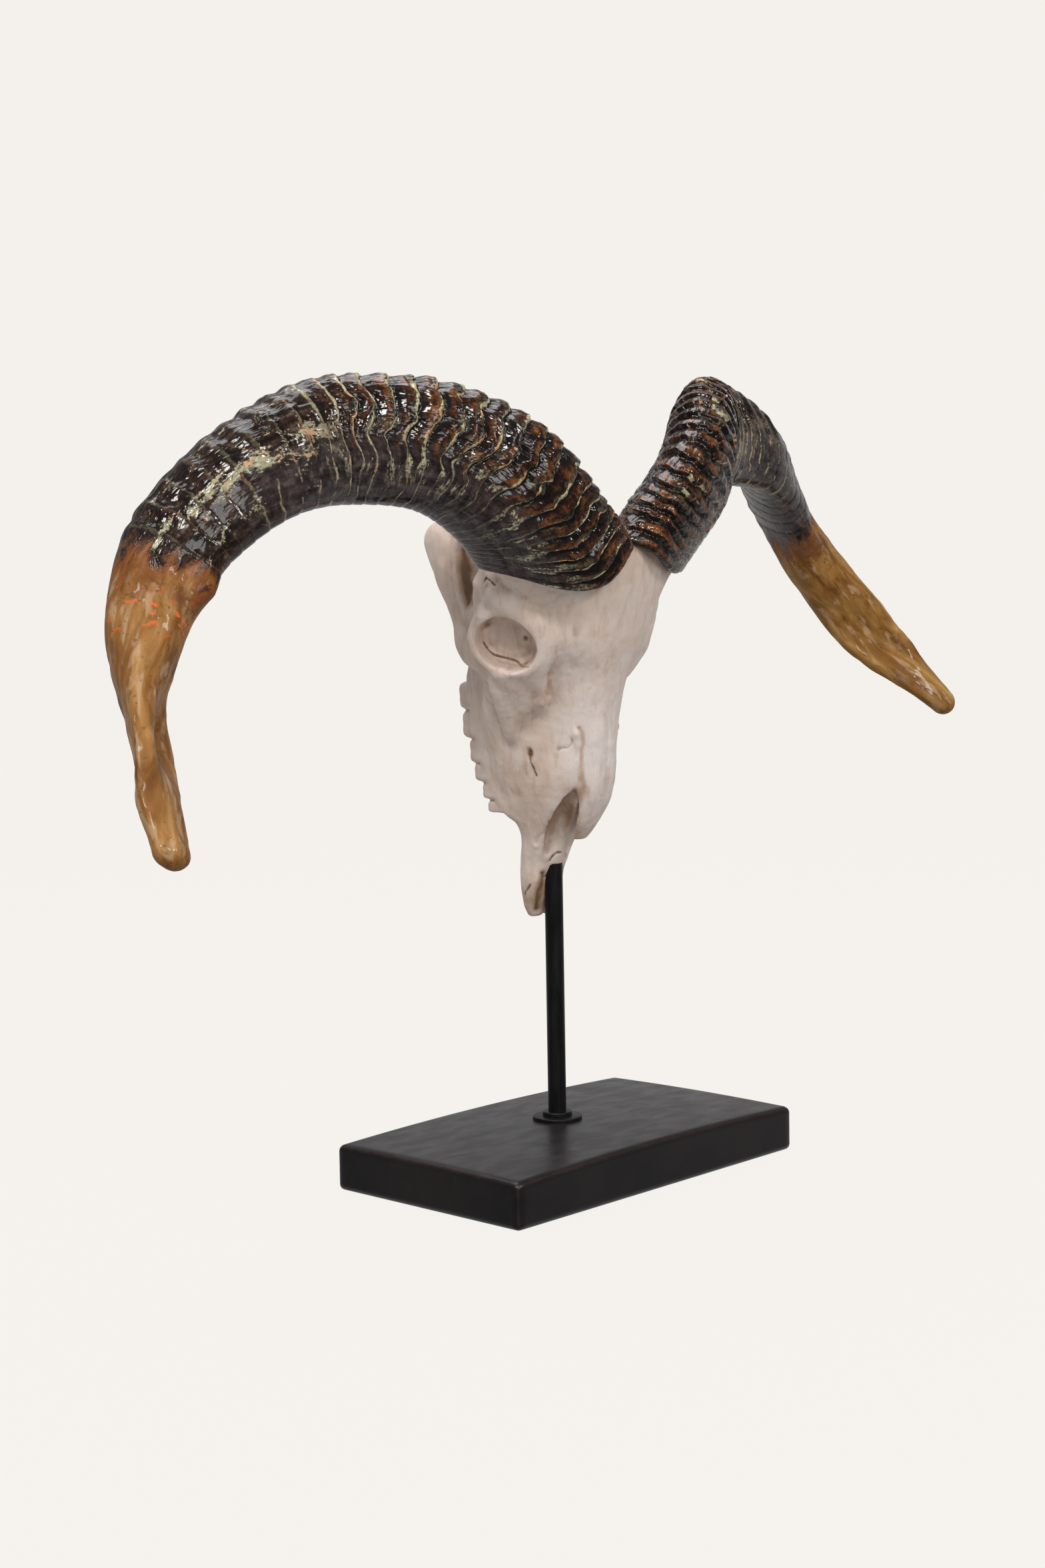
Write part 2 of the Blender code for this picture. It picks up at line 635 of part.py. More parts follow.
def nasal_front(z):
    """The dorsal line of the nasal bones."""
    return float(np.interp(-z, NASAL_FRONT_AT, NASAL_FRONT))


def add_nasals(bm):
    """The two nasal bones, whose pointed ends overhang the nose."""
    for side in (-1, 1):
        rings = []
        for z in np.linspace(NASAL_TOP + 0.008, NASAL_TIP, 18):
            half = float(np.interp(-z, NASAL_EDGE_AT, NASAL_EDGE)) / 2
            thick = float(np.interp(-z, NASAL_EDGE_AT, NASAL_THICKNESS))
            centre_x = side * half * 0.80
            front = nasal_front(z)
            rings.append([
                (centre_x + half * 1.20 * math.cos(a),
                 front + thick * (1 + math.sin(a)) + NASAL_ROOF_SLOPE * abs(centre_x + half * math.cos(a)),
                 z)
                for a in np.linspace(0.0, 2 * math.pi, 16, endpoint=False)
            ])
        lofted(bm, rings)


def add_rod_mound(bm):
    """The mound of filler round the rod, where it enters the nose."""
    add_ellipsoid(bm, ROD_MOUND_CENTRE, ROD_MOUND_RADII, Matrix.Rotation(NOSE_TILT, 3, "X"))


def add_horn_bosses(bm):
    """The bony cores that the horns sit on, which flare out to the horns' base edges."""
    distance, table = horn_table()
    angles = np.linspace(0.0, 2 * math.pi, 24, endpoint=False)
    for side in (-1, 1):
        rings = []
        for share in np.linspace(0.0, 1.0, 8):
            where = CORE_START + (CORE_END - CORE_START) * share
            ring = np.array([horn_section(distance, table, where, angle) for angle in angles])
            middle = ring.mean(axis=0)
            ring = middle + (ring - middle) * np.interp(share, (0.0, 1.0), CORE_SHARES)
            rings.append([(-side * x, y, z) for x, y, z in ring])
        lofted(bm, rings)


def carve(obj, cutters, name, bm):
    boolean(obj, helper(name, mesh_from(bm, name), cutters))


def orbit_bowl(side):
    """The shallow bowl of the eye socket."""
    matrix = orbit_matrix(side)
    inner = ORBIT_RING_RADIUS - ORBIT_RING_THICKNESS * 0.72
    bm = bmesh.new()
    lofted(bm, [orbit_oval(matrix, inner * share, ORBIT_DEPTH * depth) for depth, share in ORBIT_BOWL])
    return bm


def ellipsoid_cutter(centre, radii, rotation=Matrix.Identity(3)):
    bm = bmesh.new()
    add_ellipsoid(bm, centre, radii, rotation)
    return bm


def carve_hollows(obj, cutters):
    """Eye sockets, nose opening, slot between the premaxillae, palate, choanae and foramen magnum."""
    nose_slope = Matrix.Rotation(NOSE_TILT, 3, "X")
    for side, label in ((-1, "right"), (1, "left")):
        carve(obj, cutters, f"cut_orbit_{label}", orbit_bowl(side))
        notch = ellipsoid_cutter(mirrored(NOTCH_CENTRE, side), NOTCH_RADII, nose_slope)
        carve(obj, cutters, f"cut_notch_{label}", notch)
    carve(obj, cutters, "cut_nose", ellipsoid_cutter(NOSE_CENTRE, NOSE_RADII, nose_slope))
    for name, (centre, radii) in MIDDLE_HOLLOWS.items():
        carve(obj, cutters, f"cut_{name}", ellipsoid_cutter(centre, radii))


def soften(obj, voxel, passes):
    """Fuse the object's overlapping pieces into one closed surface and smooth it."""
    remesh = obj.modifiers.new("Remesh", "REMESH")
    remesh.mode = "VOXEL"
    remesh.voxel_size = voxel
    smooth = obj.modifiers.new("Smooth", "SMOOTH")
    smooth.factor = 0.5
    smooth.iterations = passes


def skull_form(cutters):
    """The whole skull as one closed, softened surface."""
    bm = bmesh.new()
    add_body(bm)
    add_bones(bm)
    add_gums(bm)
    add_teeth(bm)
    add_horn_bosses(bm)
    for side in (-1, 1):
        add_orbit_ring(bm, side)
    rough = helper("form_rough", mesh_from(bm, "form_rough"), cutters)
    soften(rough, VOXEL, 8)
    hollowed = helper("form_hollowed", evaluated_mesh(rough, "form_hollowed"), cutters)
    carve_hollows(hollowed, cutters)
    bm = bmesh.new()
    bm.from_mesh(evaluated_mesh(hollowed, "form_carved"))
    add_nasals(bm)
    add_rod_mound(bm)
    whole = helper("form_whole", mesh_from(bm, "form_whole"), cutters)
    soften(whole, VOXEL * 0.8, 4)
    fine = helper("form_fine", evaluated_mesh(whole, "form_fine"), cutters)
    decimate = fine.modifiers.new("Decimate", "DECIMATE")
    triangles = sum(len(face.vertices) - 2 for face in fine.data.polygons)
    decimate.ratio = SKULL_TRIANGLES / triangles
    return helper("form_skull", evaluated_mesh(fine, "form_skull"), cutters)


def box_mesh(name, low, high):
    bm = bmesh.new()
    bmesh.ops.create_cube(bm, size=1.0)
    for vert in bm.verts:
        vert.co = Vector([lo + (hi - lo) * (c + 0.5) for lo, hi, c in zip(low, high, vert.co)])
    return mesh_from(bm, name)


def nasal_cutter(grow):
    """A wedge that holds the nasal bones, from the forehead to past their ends."""
    half = NASAL_HALF_WIDTH + grow
    rings = []
    for z in (NASAL_TOP + grow, -0.105, -0.140, -0.160, -0.200):
        front = nasal_front(max(z, -0.160))
        back = front + NASAL_CUT_DEPTH + grow if z > -0.16 else front + 0.022 + grow
        rings.append([(-half, front - 0.03, z), (half, front - 0.03, z), (half, back, z), (-half, back, z)])
    bm = bmesh.new()
    lofted(bm, rings)
    return mesh_from(bm, "cut_nasals")


def make_skull(collection, cutters, pose, finish):
    """The skull as four bones that meet across thin gaps."""
    form = skull_form(cutters)
    sockets = []
    for side, label in ((-1, "right"), (1, "left")):
        grown_horn = horn_rings(side, HORN_RINGS, HORN_SIDES, GAP)
        socket = horn_mesh(f"cut_horn_{label}", side, grown_horn)
        sockets.append(helper(f"cut_horn_{label}", socket, cutters))
    bm = bmesh.new()
    bmesh.ops.create_cone(bm, cap_ends=True, segments=28, radius1=ROD_RADIUS + GAP,
                          radius2=ROD_RADIUS + GAP, depth=ROD_TOP + GAP)
    rod_hole = helper("cut_rod", mesh_from(bm, "cut_rod"), cutters)
    rod_hole.matrix_world = pose.matrix_world.inverted() @ Matrix.Translation(
        (ROD_X, ROD_Y, (ROD_TOP + GAP) / 2))
    sockets.append(rod_hole)
    wide = 0.3
    cranium_box = helper("keep_cranium", box_mesh("keep_cranium", (-wide, -wide, CRANIUM_CUT + GAP),
                                                  (wide, wide, wide)), cutters)
    face_box = helper("keep_face", box_mesh("keep_face", (-wide, -wide, MUZZLE_CUT + GAP),
                                            (wide, wide, CRANIUM_CUT)), cutters)
    muzzle_box = helper("keep_muzzle", box_mesh("keep_muzzle", (-wide, -wide, -wide),
                                                (wide, wide, MUZZLE_CUT)), cutters)
    nasal_box = helper("keep_nasals", nasal_cutter(0.0), cutters)
    nasal_gap = helper("cut_nasals", nasal_cutter(GAP), cutters)
    plans = (
        ("skull_cranium", (cranium_box,), ()),
        ("skull_face", (face_box,), (nasal_gap,)),
        ("skull_nasals", (nasal_box,), ()),
        ("skull_muzzle", (muzzle_box,), (nasal_gap,)),
    )
    for name, kept, removed in plans:
        bone = new_object(name, form.data.copy(), collection, finish)
        for cutter in kept:
            boolean(bone, cutter, "INTERSECT")
        for cutter in (*removed, *sockets):
            boolean(bone, cutter)
        whole = evaluated_mesh(bone, name)
        bone.modifiers.clear()
        bone.data = largest_piece(whole)
        bone.data.materials.clear()
        bone.data.materials.append(finish)
        shade_smooth(bone.data)
        bone.parent = pose


def largest_piece(mesh):
    """Keeps the largest connected piece, and drops slivers left by a cut."""
    bm = bmesh.new()
    bm.from_mesh(mesh)
    bmesh.ops.remove_doubles(bm, verts=bm.verts, dist=0.00001)
    unseen = set(bm.verts)
    pieces = []
    while unseen:
        stack = [unseen.pop()]
        piece = []
        while stack:
            vert = stack.pop()
            piece.append(vert)
            for edge in vert.link_edges:
                other = edge.other_vert(vert)
                if other in unseen:
                    unseen.remove(other)
                    stack.append(other)
        pieces.append(piece)
    pieces.sort(key=len)
    for piece in pieces[:-1]:
        bmesh.ops.delete(bm, geom=piece, context="VERTS")
    return mesh_from(bm, mesh.name)


def main():
    clear_scene()
    parts = new_collection("ram_skull")
    cutters = new_collection("cutters")
    bone = material("resin_bone", (0.68, 0.62, 0.56), 0.55)
    dark_horn = material("lacquered_horn", (0.035, 0.022, 0.016), 0.22)
    pale_horn = material("lacquered_horn_tip", (0.42, 0.27, 0.12), 0.32)
    black_metal = material("black_metal", (0.012, 0.012, 0.013), 0.42)
    black_block = material("black_block", (0.014, 0.012, 0.011), 0.45)
    make_stand(parts, cutters, black_block, black_metal)
    pose = bpy.data.objects.new("head_pose", None)
    parts.objects.link(pose)
    pose.matrix_world = (
        Matrix.Translation(HEAD_PLACE)
        @ Matrix.Rotation(HEAD_ROLL, 4, "Y")
        @ Matrix.Rotation(HEAD_TURN, 4, "Z")
    )
    horn_finish = {"base": dark_horn, "arch": dark_horn, "tip": pale_horn}
    horn_lengths(-1, "horn_right", parts, pose, horn_finish)
    horn_lengths(1, "horn_left", parts, pose, horn_finish)
    make_skull(parts, cutters, pose, bone)
    bpy.context.view_layer.update()


main()
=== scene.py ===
import math

import bmesh
import bpy
import numpy as np
from mathutils import Matrix, Vector


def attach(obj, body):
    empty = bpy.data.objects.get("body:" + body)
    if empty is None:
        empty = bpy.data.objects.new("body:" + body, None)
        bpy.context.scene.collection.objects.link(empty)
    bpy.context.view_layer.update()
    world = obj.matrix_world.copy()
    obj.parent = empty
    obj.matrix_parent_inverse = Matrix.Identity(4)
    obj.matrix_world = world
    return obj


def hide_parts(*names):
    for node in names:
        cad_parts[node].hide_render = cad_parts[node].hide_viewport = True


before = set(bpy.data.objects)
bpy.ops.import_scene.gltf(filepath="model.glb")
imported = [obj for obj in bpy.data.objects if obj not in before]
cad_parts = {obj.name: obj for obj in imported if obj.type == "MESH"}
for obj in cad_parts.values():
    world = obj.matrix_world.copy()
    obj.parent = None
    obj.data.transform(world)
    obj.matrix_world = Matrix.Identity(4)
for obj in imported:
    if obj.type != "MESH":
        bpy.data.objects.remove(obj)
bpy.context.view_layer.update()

# The looks of the ram skull: two ringed, lacquered horns, one skull of painted resin, and the black stand.
# Metres, +Z up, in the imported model's frame. The skull and horns are made upright and symmetric about
# the middle of the horn bases, then turned into place. A `side` is -1 for the animal's right, which is
# nearer the camera, and 1 for its left.

# ---------------------------------------------------------------- sizes
GAP = 0.0003

BLOCK_LENGTH = 0.2725
BLOCK_DEPTH = 0.160
BLOCK_EDGE_HEIGHT = 0.0295
BLOCK_CROWN_LONG = 0.0029
BLOCK_CROWN_SHORT = 0.0011
BLOCK_EASE = 0.0042
BLOCK_CUTS = 39
# How strongly the block's points crowd towards its edges, 1 for not at all.
BLOCK_CROWDING = 1.6

ROD_X = -0.003
ROD_Y = 0.009
ROD_RADIUS = 0.006
ROD_TOP = 0.262
FLANGE_RADIUS = 0.01635
FLANGE_HEIGHT = 0.0021
COLLAR_RADIUS = 0.00975
COLLAR_HEIGHT = 0.0026
FLANGE_EASE = 0.0007
COLLAR_EASE = 0.0009
# How far the crown of the block's top has fallen where the flange's rim meets it.
FLANGE_SINK = 0.0002

HEAD_PLACE = (-0.0112, -0.0101, 0.3998)
HEAD_ROLL = math.radians(-3.1)
HEAD_TURN = math.radians(3.0)
HEAD = (
    Matrix.Translation(HEAD_PLACE)
    @ Matrix.Rotation(HEAD_ROLL, 4, "Y")
    @ Matrix.Rotation(HEAD_TURN, 4, "Z")
)

# The right horn's centre line from its base to its tip, at even spacing along the horn.
HORN_PATH = (
    (-0.0450, -0.0330, 0.0030),
    (-0.0920, -0.0375, 0.0470),
    (-0.1370, -0.0190, 0.0755),
    (-0.1890, 0.0085, 0.0815),
    (-0.2480, 0.0160, 0.0660),
    (-0.2940, 0.0300, 0.0300),
    (-0.3305, 0.0240, -0.0180),
    (-0.3605, -0.0060, -0.0730),
    (-0.3885, -0.0500, -0.1275),
)
# Half sizes of the oval section and its turn about the centre line, evenly spaced from base to tip.
HORN_LONG_RADIUS = (0.0460, 0.0445, 0.0408, 0.0393, 0.0347, 0.0316, 0.0232, 0.0100, 0.0085)
HORN_SHORT_RADIUS = (0.0275, 0.0262, 0.0244, 0.0230, 0.0220, 0.0202, 0.0210, 0.0226, 0.0120)
HORN_TURN = (50, 60, 86, 116, 122, 160)
# The base edge is cut back on the horn's outer side and has a tongue down the forehead.
HORN_BASE_SLANT = 0.029
HORN_BASE_SLANT_AT = math.radians(15)
HORN_BASE_TONGUE = {-1: 0.0225, 1: 0.0150}
HORN_BASE_TONGUE_AT = math.radians(100)
HORN_BASE_TONGUE_SPREAD = math.radians(40)
HORN_BASE_START = 0.004
HORN_BASE_LIP = 0.0026
HORN_INSET = 0.0008
HORN_TIP_ROUND = 0.010
HORN_ROOT = 0.060
HORN_TABLE_ROWS = 200
HORN_ROWS = 780
HORN_TIP_ROWS = 14
HORN_SIDES = 208

HORN_NAMES = {-1: "horn_right", 1: "horn_left"}
HORN_SEEDS = {-1: 4, 1: 15}

# Growth rings of the horns: the distance between them by distance along the horn, and their height by the
# share of its length.
RING_SPACING_AT = (0.0, 0.10, 0.20, 0.30, 0.52)
RING_SPACING = (0.0088, 0.0102, 0.0124, 0.0140, 0.0150)
RING_HEIGHT_AT = (0.0, 0.06, 0.20, 0.32, 0.42, 0.60, 0.66)
RING_HEIGHT = (0.0020, 0.0036, 0.0036, 0.0024, 0.0013, 0.0011, 0.0)
RINGED_FACE_AT = math.radians(172)
RINGED_FACE_HALF = math.radians(88)
RINGED_FACE_FADE = math.radians(16)
RING_TILT = 0.016
# The keel between the ringed and the smooth face: its place in degrees round the section, and its height.
KEEL_AT = 84
KEEL_HEIGHT = 0.0010
# Shares of the length: where the rings wear down, and where the horn turns from dark to pale.
RINGS_WEAR_DOWN = (0.34, 0.46)
HORN_TURNS_PALE = 0.645
# Heights of the finer forms: the ripple on each ring, the faint rings of the smooth face, the knobs and
# grain of the dark part, and the dents of the pale tip.
RIPPLE_HEIGHT = 0.00022
FAINT_RING_HEIGHT = 0.00040
KNOB_HEIGHT = 0.00055
GRAIN_HEIGHT = 0.00007
TIP_DENT_DEPTH = 0.0008
# A typical ring spacing, by which ring numbers become lengths.
RING_PITCH = 0.0115
# Low swellings of both horns, or hollows where the height is below nothing:
# share of the length, angle in degrees, reach in share, spread in degrees, height.
HORN_SWELLINGS = (
    (0.04, 204, 0.04, 40, 0.0030),
    (0.12, 76, 0.07, 34, 0.0020),
    (0.22, 230, 0.08, 34, 0.0040),
    (0.26, 168, 0.06, 26, -0.0022),
    (0.275, 192, 0.020, 25, 0.0018),
    (0.30, 178, 0.05, 32, -0.0010),
    (0.40, 140, 0.05, 26, 0.0020),
    (0.45, 116, 0.04, 26, 0.0020),
    (0.47, 160, 0.09, 38, -0.0014),
    (0.52, 62, 0.05, 26, -0.0014),
    (0.61, 162, 0.03, 35, 0.0014),
    (0.645, 6, 0.024, 28, 0.0044),
    (0.63, 296, 0.05, 35, -0.0026),
    (0.650, 50, 0.030, 28, -0.0044),
    (0.850, 346, 0.050, 34, -0.0076),
    (0.85, 288, 0.05, 32, 0.0042),
    (0.86, 62, 0.055, 14, -0.0016),
    (0.875, 124, 0.035, 30, -0.0036),
    (0.88, 48, 0.05, 24, 0.0032),
    (0.95, 118, 0.03, 30, 0.0014),
    (0.97, 335, 0.02, 30, -0.0010),
)

# Outlines of the skull without its horns: height, then the lines that the body of the bone follows.
# (z, front, widest, back, half width)
SKULL_STATIONS = (
    (0.034, -0.020, 0.016, 0.050, 0.022),
    (0.026, -0.040, 0.006, 0.056, 0.036),
    (0.012, -0.0560, -0.004, 0.058, 0.046),
    (-0.008, -0.0580, -0.008, 0.056, 0.052),
    (-0.030, -0.0530, -0.008, 0.054, 0.055),
    (-0.050, -0.0480, -0.002, 0.053, 0.053),
    (-0.066, -0.0420, 0.010, 0.053, 0.045),
    (-0.082, -0.0372, 0.024, 0.054, 0.0415),
    (-0.100, -0.0327, 0.028, 0.054, 0.0390),
    (-0.120, -0.0292, 0.028, 0.053, 0.0365),
    (-0.136, -0.0245, 0.027, 0.051, 0.0335),
    (-0.150, -0.0155, 0.026, 0.0462, 0.0295),
    (-0.164, -0.0045, 0.025, 0.0400, 0.0245),
    (-0.178, 0.0070, 0.024, 0.0365, 0.0200),
    (-0.194, 0.0165, 0.028, 0.0400, 0.0175),
    (-0.210, 0.0215, 0.031, 0.0410, 0.0168),
    (-0.223, 0.0255, 0.033, 0.0410, 0.0145),
    (-0.2320, 0.0290, 0.034, 0.0395, 0.0105),
)
SKULL_FRONT_POWER = 2.1
MUZZLE_FRONT_POWER = 3.2
SKULL_BACK_POWER = 2.6

ORBIT_CENTRE = (0.0645, -0.0047, -0.0466)
ORBIT_FACING = math.radians(26)
ORBIT_RISE = math.radians(-12)
ORBIT_RING_RADIUS = 0.0227
ORBIT_RING_THICKNESS = 0.0038
ORBIT_HEIGHT_RATIO = 0.84
ORBIT_OVAL_TURN = math.radians(28)
ORBIT_DEPTH = 0.013
# The tube behind the socket's rim and the bowl within it, by distance from the rim: how much the tube
# flares, and the bowl's share of the opening.
ORBIT_TUBE = ((0.030, 0.004), (0.015, 0.0015), (0.0, 0.0))
ORBIT_BOWL = ((-0.010, 1.06), (0.0, 1.0), (0.6 * ORBIT_DEPTH, 0.93), (0.92 * ORBIT_DEPTH, 0.72),
              (ORBIT_DEPTH, 0.45))

# Masses on the middle line: centre, radii.
MIDDLE_MASSES = (
    ((0.0, 0.034, -0.004), (0.043, 0.046, 0.040)),
    ((0.0, 0.058, 0.018), (0.036, 0.026, 0.026)),
)
# The bar along the base of the skull, as a path and the radii along it.
SKULL_BASE = ((0.0, 0.066, 0.022), (0.0, 0.062, -0.020), (0.0, 0.052, -0.062)), (0.019, 0.017, 0.012)
# Limbs and masses of both sides, given on the left (+X) side.
SIDE_LIMBS = {
    "nuchal crest": (((0.0, 0.024, 0.034), (0.024, 0.036, 0.031), (0.037, 0.058, 0.020)),
                     (0.008, 0.008, 0.009)),
    "jugular process": (((0.034, 0.058, 0.024), (0.033, 0.070, 0.016), (0.030, 0.079, 0.000)),
                        (0.012, 0.0085, 0.0055)),
    "brow": (((0.0700, -0.0060, -0.0180), (0.0585, -0.0170, -0.0300), (0.0500, -0.0195, -0.0470),
              (0.0480, -0.0130, -0.0630)), (0.0088, 0.0112, 0.0104, 0.0090)),
    "postorbital bar": (((0.0710, 0.0060, -0.0290), (0.0610, 0.0080, -0.0160), (0.0500, 0.0060, -0.0020)),
                        (0.0075, 0.0125, 0.0160)),
    "temple": (((0.0400, 0.0420, 0.0160), (0.0450, 0.0370, -0.0080), (0.0480, 0.0270, -0.0320)),
               (0.0110, 0.0120, 0.0120)),
    "lower rim": (((0.0620, -0.0060, -0.0640), (0.0570, 0.0080, -0.0670), (0.0500, 0.0200, -0.0660)),
                  (0.0055, 0.0070, 0.0090)),
    "under the socket": (((0.0580, 0.0020, -0.0640), (0.0480, 0.0010, -0.0760), (0.0370, 0.0070, -0.0970)),
                         (0.0100, 0.0085, 0.0040)),
    "tear edge": (((0.0530, -0.0100, -0.0620), (0.0425, -0.0095, -0.0740), (0.0330, -0.0040, -0.0930)),
                  (0.0085, 0.0074, 0.0040)),
    "cheek": (((0.0550, 0.0090, -0.0680), (0.0475, 0.0120, -0.0850), (0.0390, 0.0170, -0.1080)),
              (0.0095, 0.0088, 0.0050)),
    "zygomatic arch": (((0.055, 0.018, -0.062), (0.053, 0.035, -0.050), (0.0460, 0.0455, -0.032),
                        (0.0415, 0.0560, -0.008), (0.038, 0.065, 0.018)),
                       (0.0085, 0.0098, 0.0082, 0.0115, 0.0145)),
    "facial crest": (((0.050, 0.016, -0.064), (0.040, 0.030, -0.088), (0.032, 0.034, -0.116)),
                     (0.0080, 0.0075, 0.0060)),
    "pterygoid": (((0.022, 0.046, -0.066), (0.018, 0.056, -0.050), (0.016, 0.062, -0.030)),
                  (0.0070, 0.0055, 0.0060)),
}
SIDE_MASSES = {
    "occipital condyle": ((0.0155, 0.076, 0.030), (0.0115, 0.013, 0.016)),
    "ear bulla": ((0.026, 0.066, -0.006), (0.011, 0.013, 0.016)),
    "brow root": ((0.0600, -0.0010, -0.0140), (0.0145, 0.0150, 0.0160)),
    "tear bone": ((0.0370, -0.0060, -0.0780), (0.0095, 0.0095, 0.0140)),
    "socket wall": ((0.046, 0.022, -0.034), (0.014, 0.018, 0.024)),
}

# The slot between the premaxillae, the palate, the choanae and the foramen magnum: centres and radii.
MIDDLE_HOLLOWS = (
    ((0.0, 0.028, -0.222), (0.0022, 0.020, 0.030)),
    ((0.0, 0.062, -0.108), (0.0150, 0.0145, 0.050)),
    ((0.0, 0.058, -0.060), (0.0105, 0.012, 0.022)),
    ((0.0, 0.066, 0.046), (0.0100, 0.0095, 0.016)),
)

# The hollow beside each nasal bone, and the sloping floor between the two, down to the rod.
RECESS_PATH = ((0.0180, -0.0185, -0.1450), (0.0165, -0.0070, -0.1560), (0.0135, 0.0005, -0.1670),
               (0.0120, 0.0060, -0.1770), (0.0110, 0.0115, -0.1870))
RECESS_RADII = (0.0030, 0.0062, 0.0082, 0.0080, 0.0060)
NOSE_FLOOR_PATH = ((0.0, 0.0030, -0.150), (0.0, 0.0110, -0.166), (-0.0005, 0.0165, -0.180),
                   (-0.0014, 0.0190, -0.1920))
NOSE_FLOOR_RADII = (0.0100, 0.0095, 0.0085, 0.0072)

# The tooth row's middle, the end of its crowns and its half width: each at the row's top, how much less at
# its end, and the power by which it gets there.
TOOTH_ROW = ((0.0295, 0.0090, 1.4), (0.0652, 0.0136, 2.4), (0.0075, 0.0025, 1.0))
TOOTH_ROW_TOP = -0.0735
TOOTH_ROW_END = -0.1620
TOOTH_SHARES = (1.30, 1.28, 1.12, 0.86, 0.80, 0.64)
TOOTH_GAP = 0.0016
TOOTH_DEPTH = 0.018
# The gums: the stretch of the tooth row that they cover, their front at its top and end, how far the crowns
# stand out of them, how much wider they are, and how they fall away at each end.
GUM_STRETCH = (-0.20, 1.04)
GUM_FRONT = (0.022, 0.030)
GUM_BELOW_CROWNS = 0.0060
GUM_INWARD = 0.0007
GUM_WIDER = 0.0013
GUM_FALL = 0.008
GUM_FALL_FROM = 0.80

NASAL_TOP = -0.070
NASAL_TIP = -0.179
# How far the nasal bones reach sideways, and half their thickness, by distance down from the horns.
NASAL_EDGE_AT = (0.070, 0.140, 0.148, 0.158, 0.170, 0.178, 0.181)
NASAL_EDGE = (0.0178, 0.0175, 0.0160, 0.0140, 0.0102, 0.0066, 0.0046)
NASAL_THICKNESS = (0.0090, 0.0080, 0.0052, 0.0036, 0.0032, 0.0028, 0.0020)
# How far each bone's middle lies out, how much it overlaps its neighbours and how steeply it falls sideways.
NASAL_MIDDLE = 0.80
NASAL_OVERLAP = 1.20
NASAL_SLOPE = 0.26
# The dorsal line of the nasal bones.
NASAL_FRONT_AT = (0.070, 0.100, 0.120, 0.140, 0.154, 0.166, 0.175, 0.181)
NASAL_FRONT = (-0.0398, -0.0343, -0.0318, -0.0290, -0.0246, -0.0176, -0.0106, -0.0045)

# The bony cores of the horns: the distance along the horn where each starts and ends, and its size there as
# a share of the horn's section.
BOSS_START = (-0.045, 0.58)
BOSS_END = (0.031, 0.85)

ROUGH_VOXEL = 0.0020
FINE_VOXEL = 0.00095
ROUGH_SMOOTHING = 8
FINE_SMOOTHING = 9
CUTTER_SMOOTHING = 2

# ---------------------------------------------------------------- the photograph's view
CAMERA_AZIMUTH = math.radians(46.86)
CAMERA_PITCH = math.radians(4.59)
CAMERA_ROLL = math.radians(-0.98)
CAMERA_DISTANCE = 1.514
CAMERA_SIDE = -0.028
CAMERA_HEIGHT = 0.378
CAMERA_LENS = 53.33
BACKDROP = (0.905, 0.880, 0.839)
ROOM_LIGHT = 0.43
ROOM_MIRRORED = 0.12
WALL_LIGHT = 0.52
WALL_DIRECTION = (math.sin(CAMERA_AZIMUTH), math.cos(CAMERA_AZIMUTH), -0.75)
ROOM_COLOUR = (1.0, 0.985, 0.98)
FLOOR_HALF_WIDTH = 30.0
FLOOR_COLOUR = (0.016, 0.0155, 0.015)
FLOOR_GLOW = 0.988
LIGHT_TARGET = (-0.02, 0.0, 0.36)
LIGHTS = {
    # place, size, power, colour
    "key_light": ((-2.0, -0.9, 2.4), (0.66, 0.66), 41.0, (1.0, 0.97, 0.94)),
    "side_light": ((0.6, -2.7, 2.3), (0.5, 0.6), 27.0, (1.0, 0.98, 0.97)),
    "front_light": ((-1.1, -2.1, 1.3), (0.9, 0.9), 14.0, (1.0, 0.99, 0.97)),
    "top_light": ((0.3, 0.7, 2.6), (1.7, 1.7), 34.0, (0.98, 0.97, 1.0)),
}


# ---------------------------------------------------------------- numbers and noise
def smoothstep(low, high, value):
    t = np.clip((value - low) / (high - low), 0.0, 1.0)
    return t * t * (3 - 2 * t)


def hump(value, centre, width):
    return np.exp(-((value - centre) / width) ** 2)


def turn_between(angle, centre):
    """The signed angle from `centre`, the short way round."""
    return np.remainder(angle - centre + math.pi, 2 * math.pi) - math.pi


def circle(count):
    """Evenly spaced angles once round."""
    return np.linspace(0.0, 2 * math.pi, count, endpoint=False)


def lattice_noise(points, seed):
    """Smooth noise from -1 to 1 at each point, about one unit from hill to hollow."""
    size = 48
    table = np.random.default_rng(seed).uniform(-1.0, 1.0, (size, size, size))
    cell = np.floor(points).astype(int)
    t = points - cell
    t = t * t * (3 - 2 * t)
    total = np.zeros(points.shape[:-1])
    for corner in np.ndindex(2, 2, 2):
        weight = np.prod(np.where(corner, t, 1 - t), axis=-1)
        x, y, z = np.moveaxis((cell + corner) % size, -1, 0)
        total += weight * table[x, y, z]
    return total


def layered_noise(points, seed, octaves=3):
    total = 0.0
    for octave in range(octaves):
        total = total + lattice_noise(points * 2.03 ** octave, seed + octave) * 0.5 ** octave
    return total


def smooth_curve(values, count):
    """Points on the smooth curve through evenly spaced values, at `count` even places."""
    values = np.asarray(values, float)
    slopes = np.gradient(values, axis=0)
    place = np.linspace(0.0, len(values) - 1.0, count)
    index = np.minimum(place.astype(int), len(values) - 2)
    t = (place - index).reshape((-1,) + (1,) * (values.ndim - 1))
    start, end = values[index], values[index + 1]
    start_slope, end_slope = slopes[index], slopes[index + 1]
    return (
        start * (1 + 2 * t) * (1 - t) ** 2
        + start_slope * t * (1 - t) ** 2
        + end * t * t * (3 - 2 * t)
        - end_slope * t * t * (1 - t)
    )


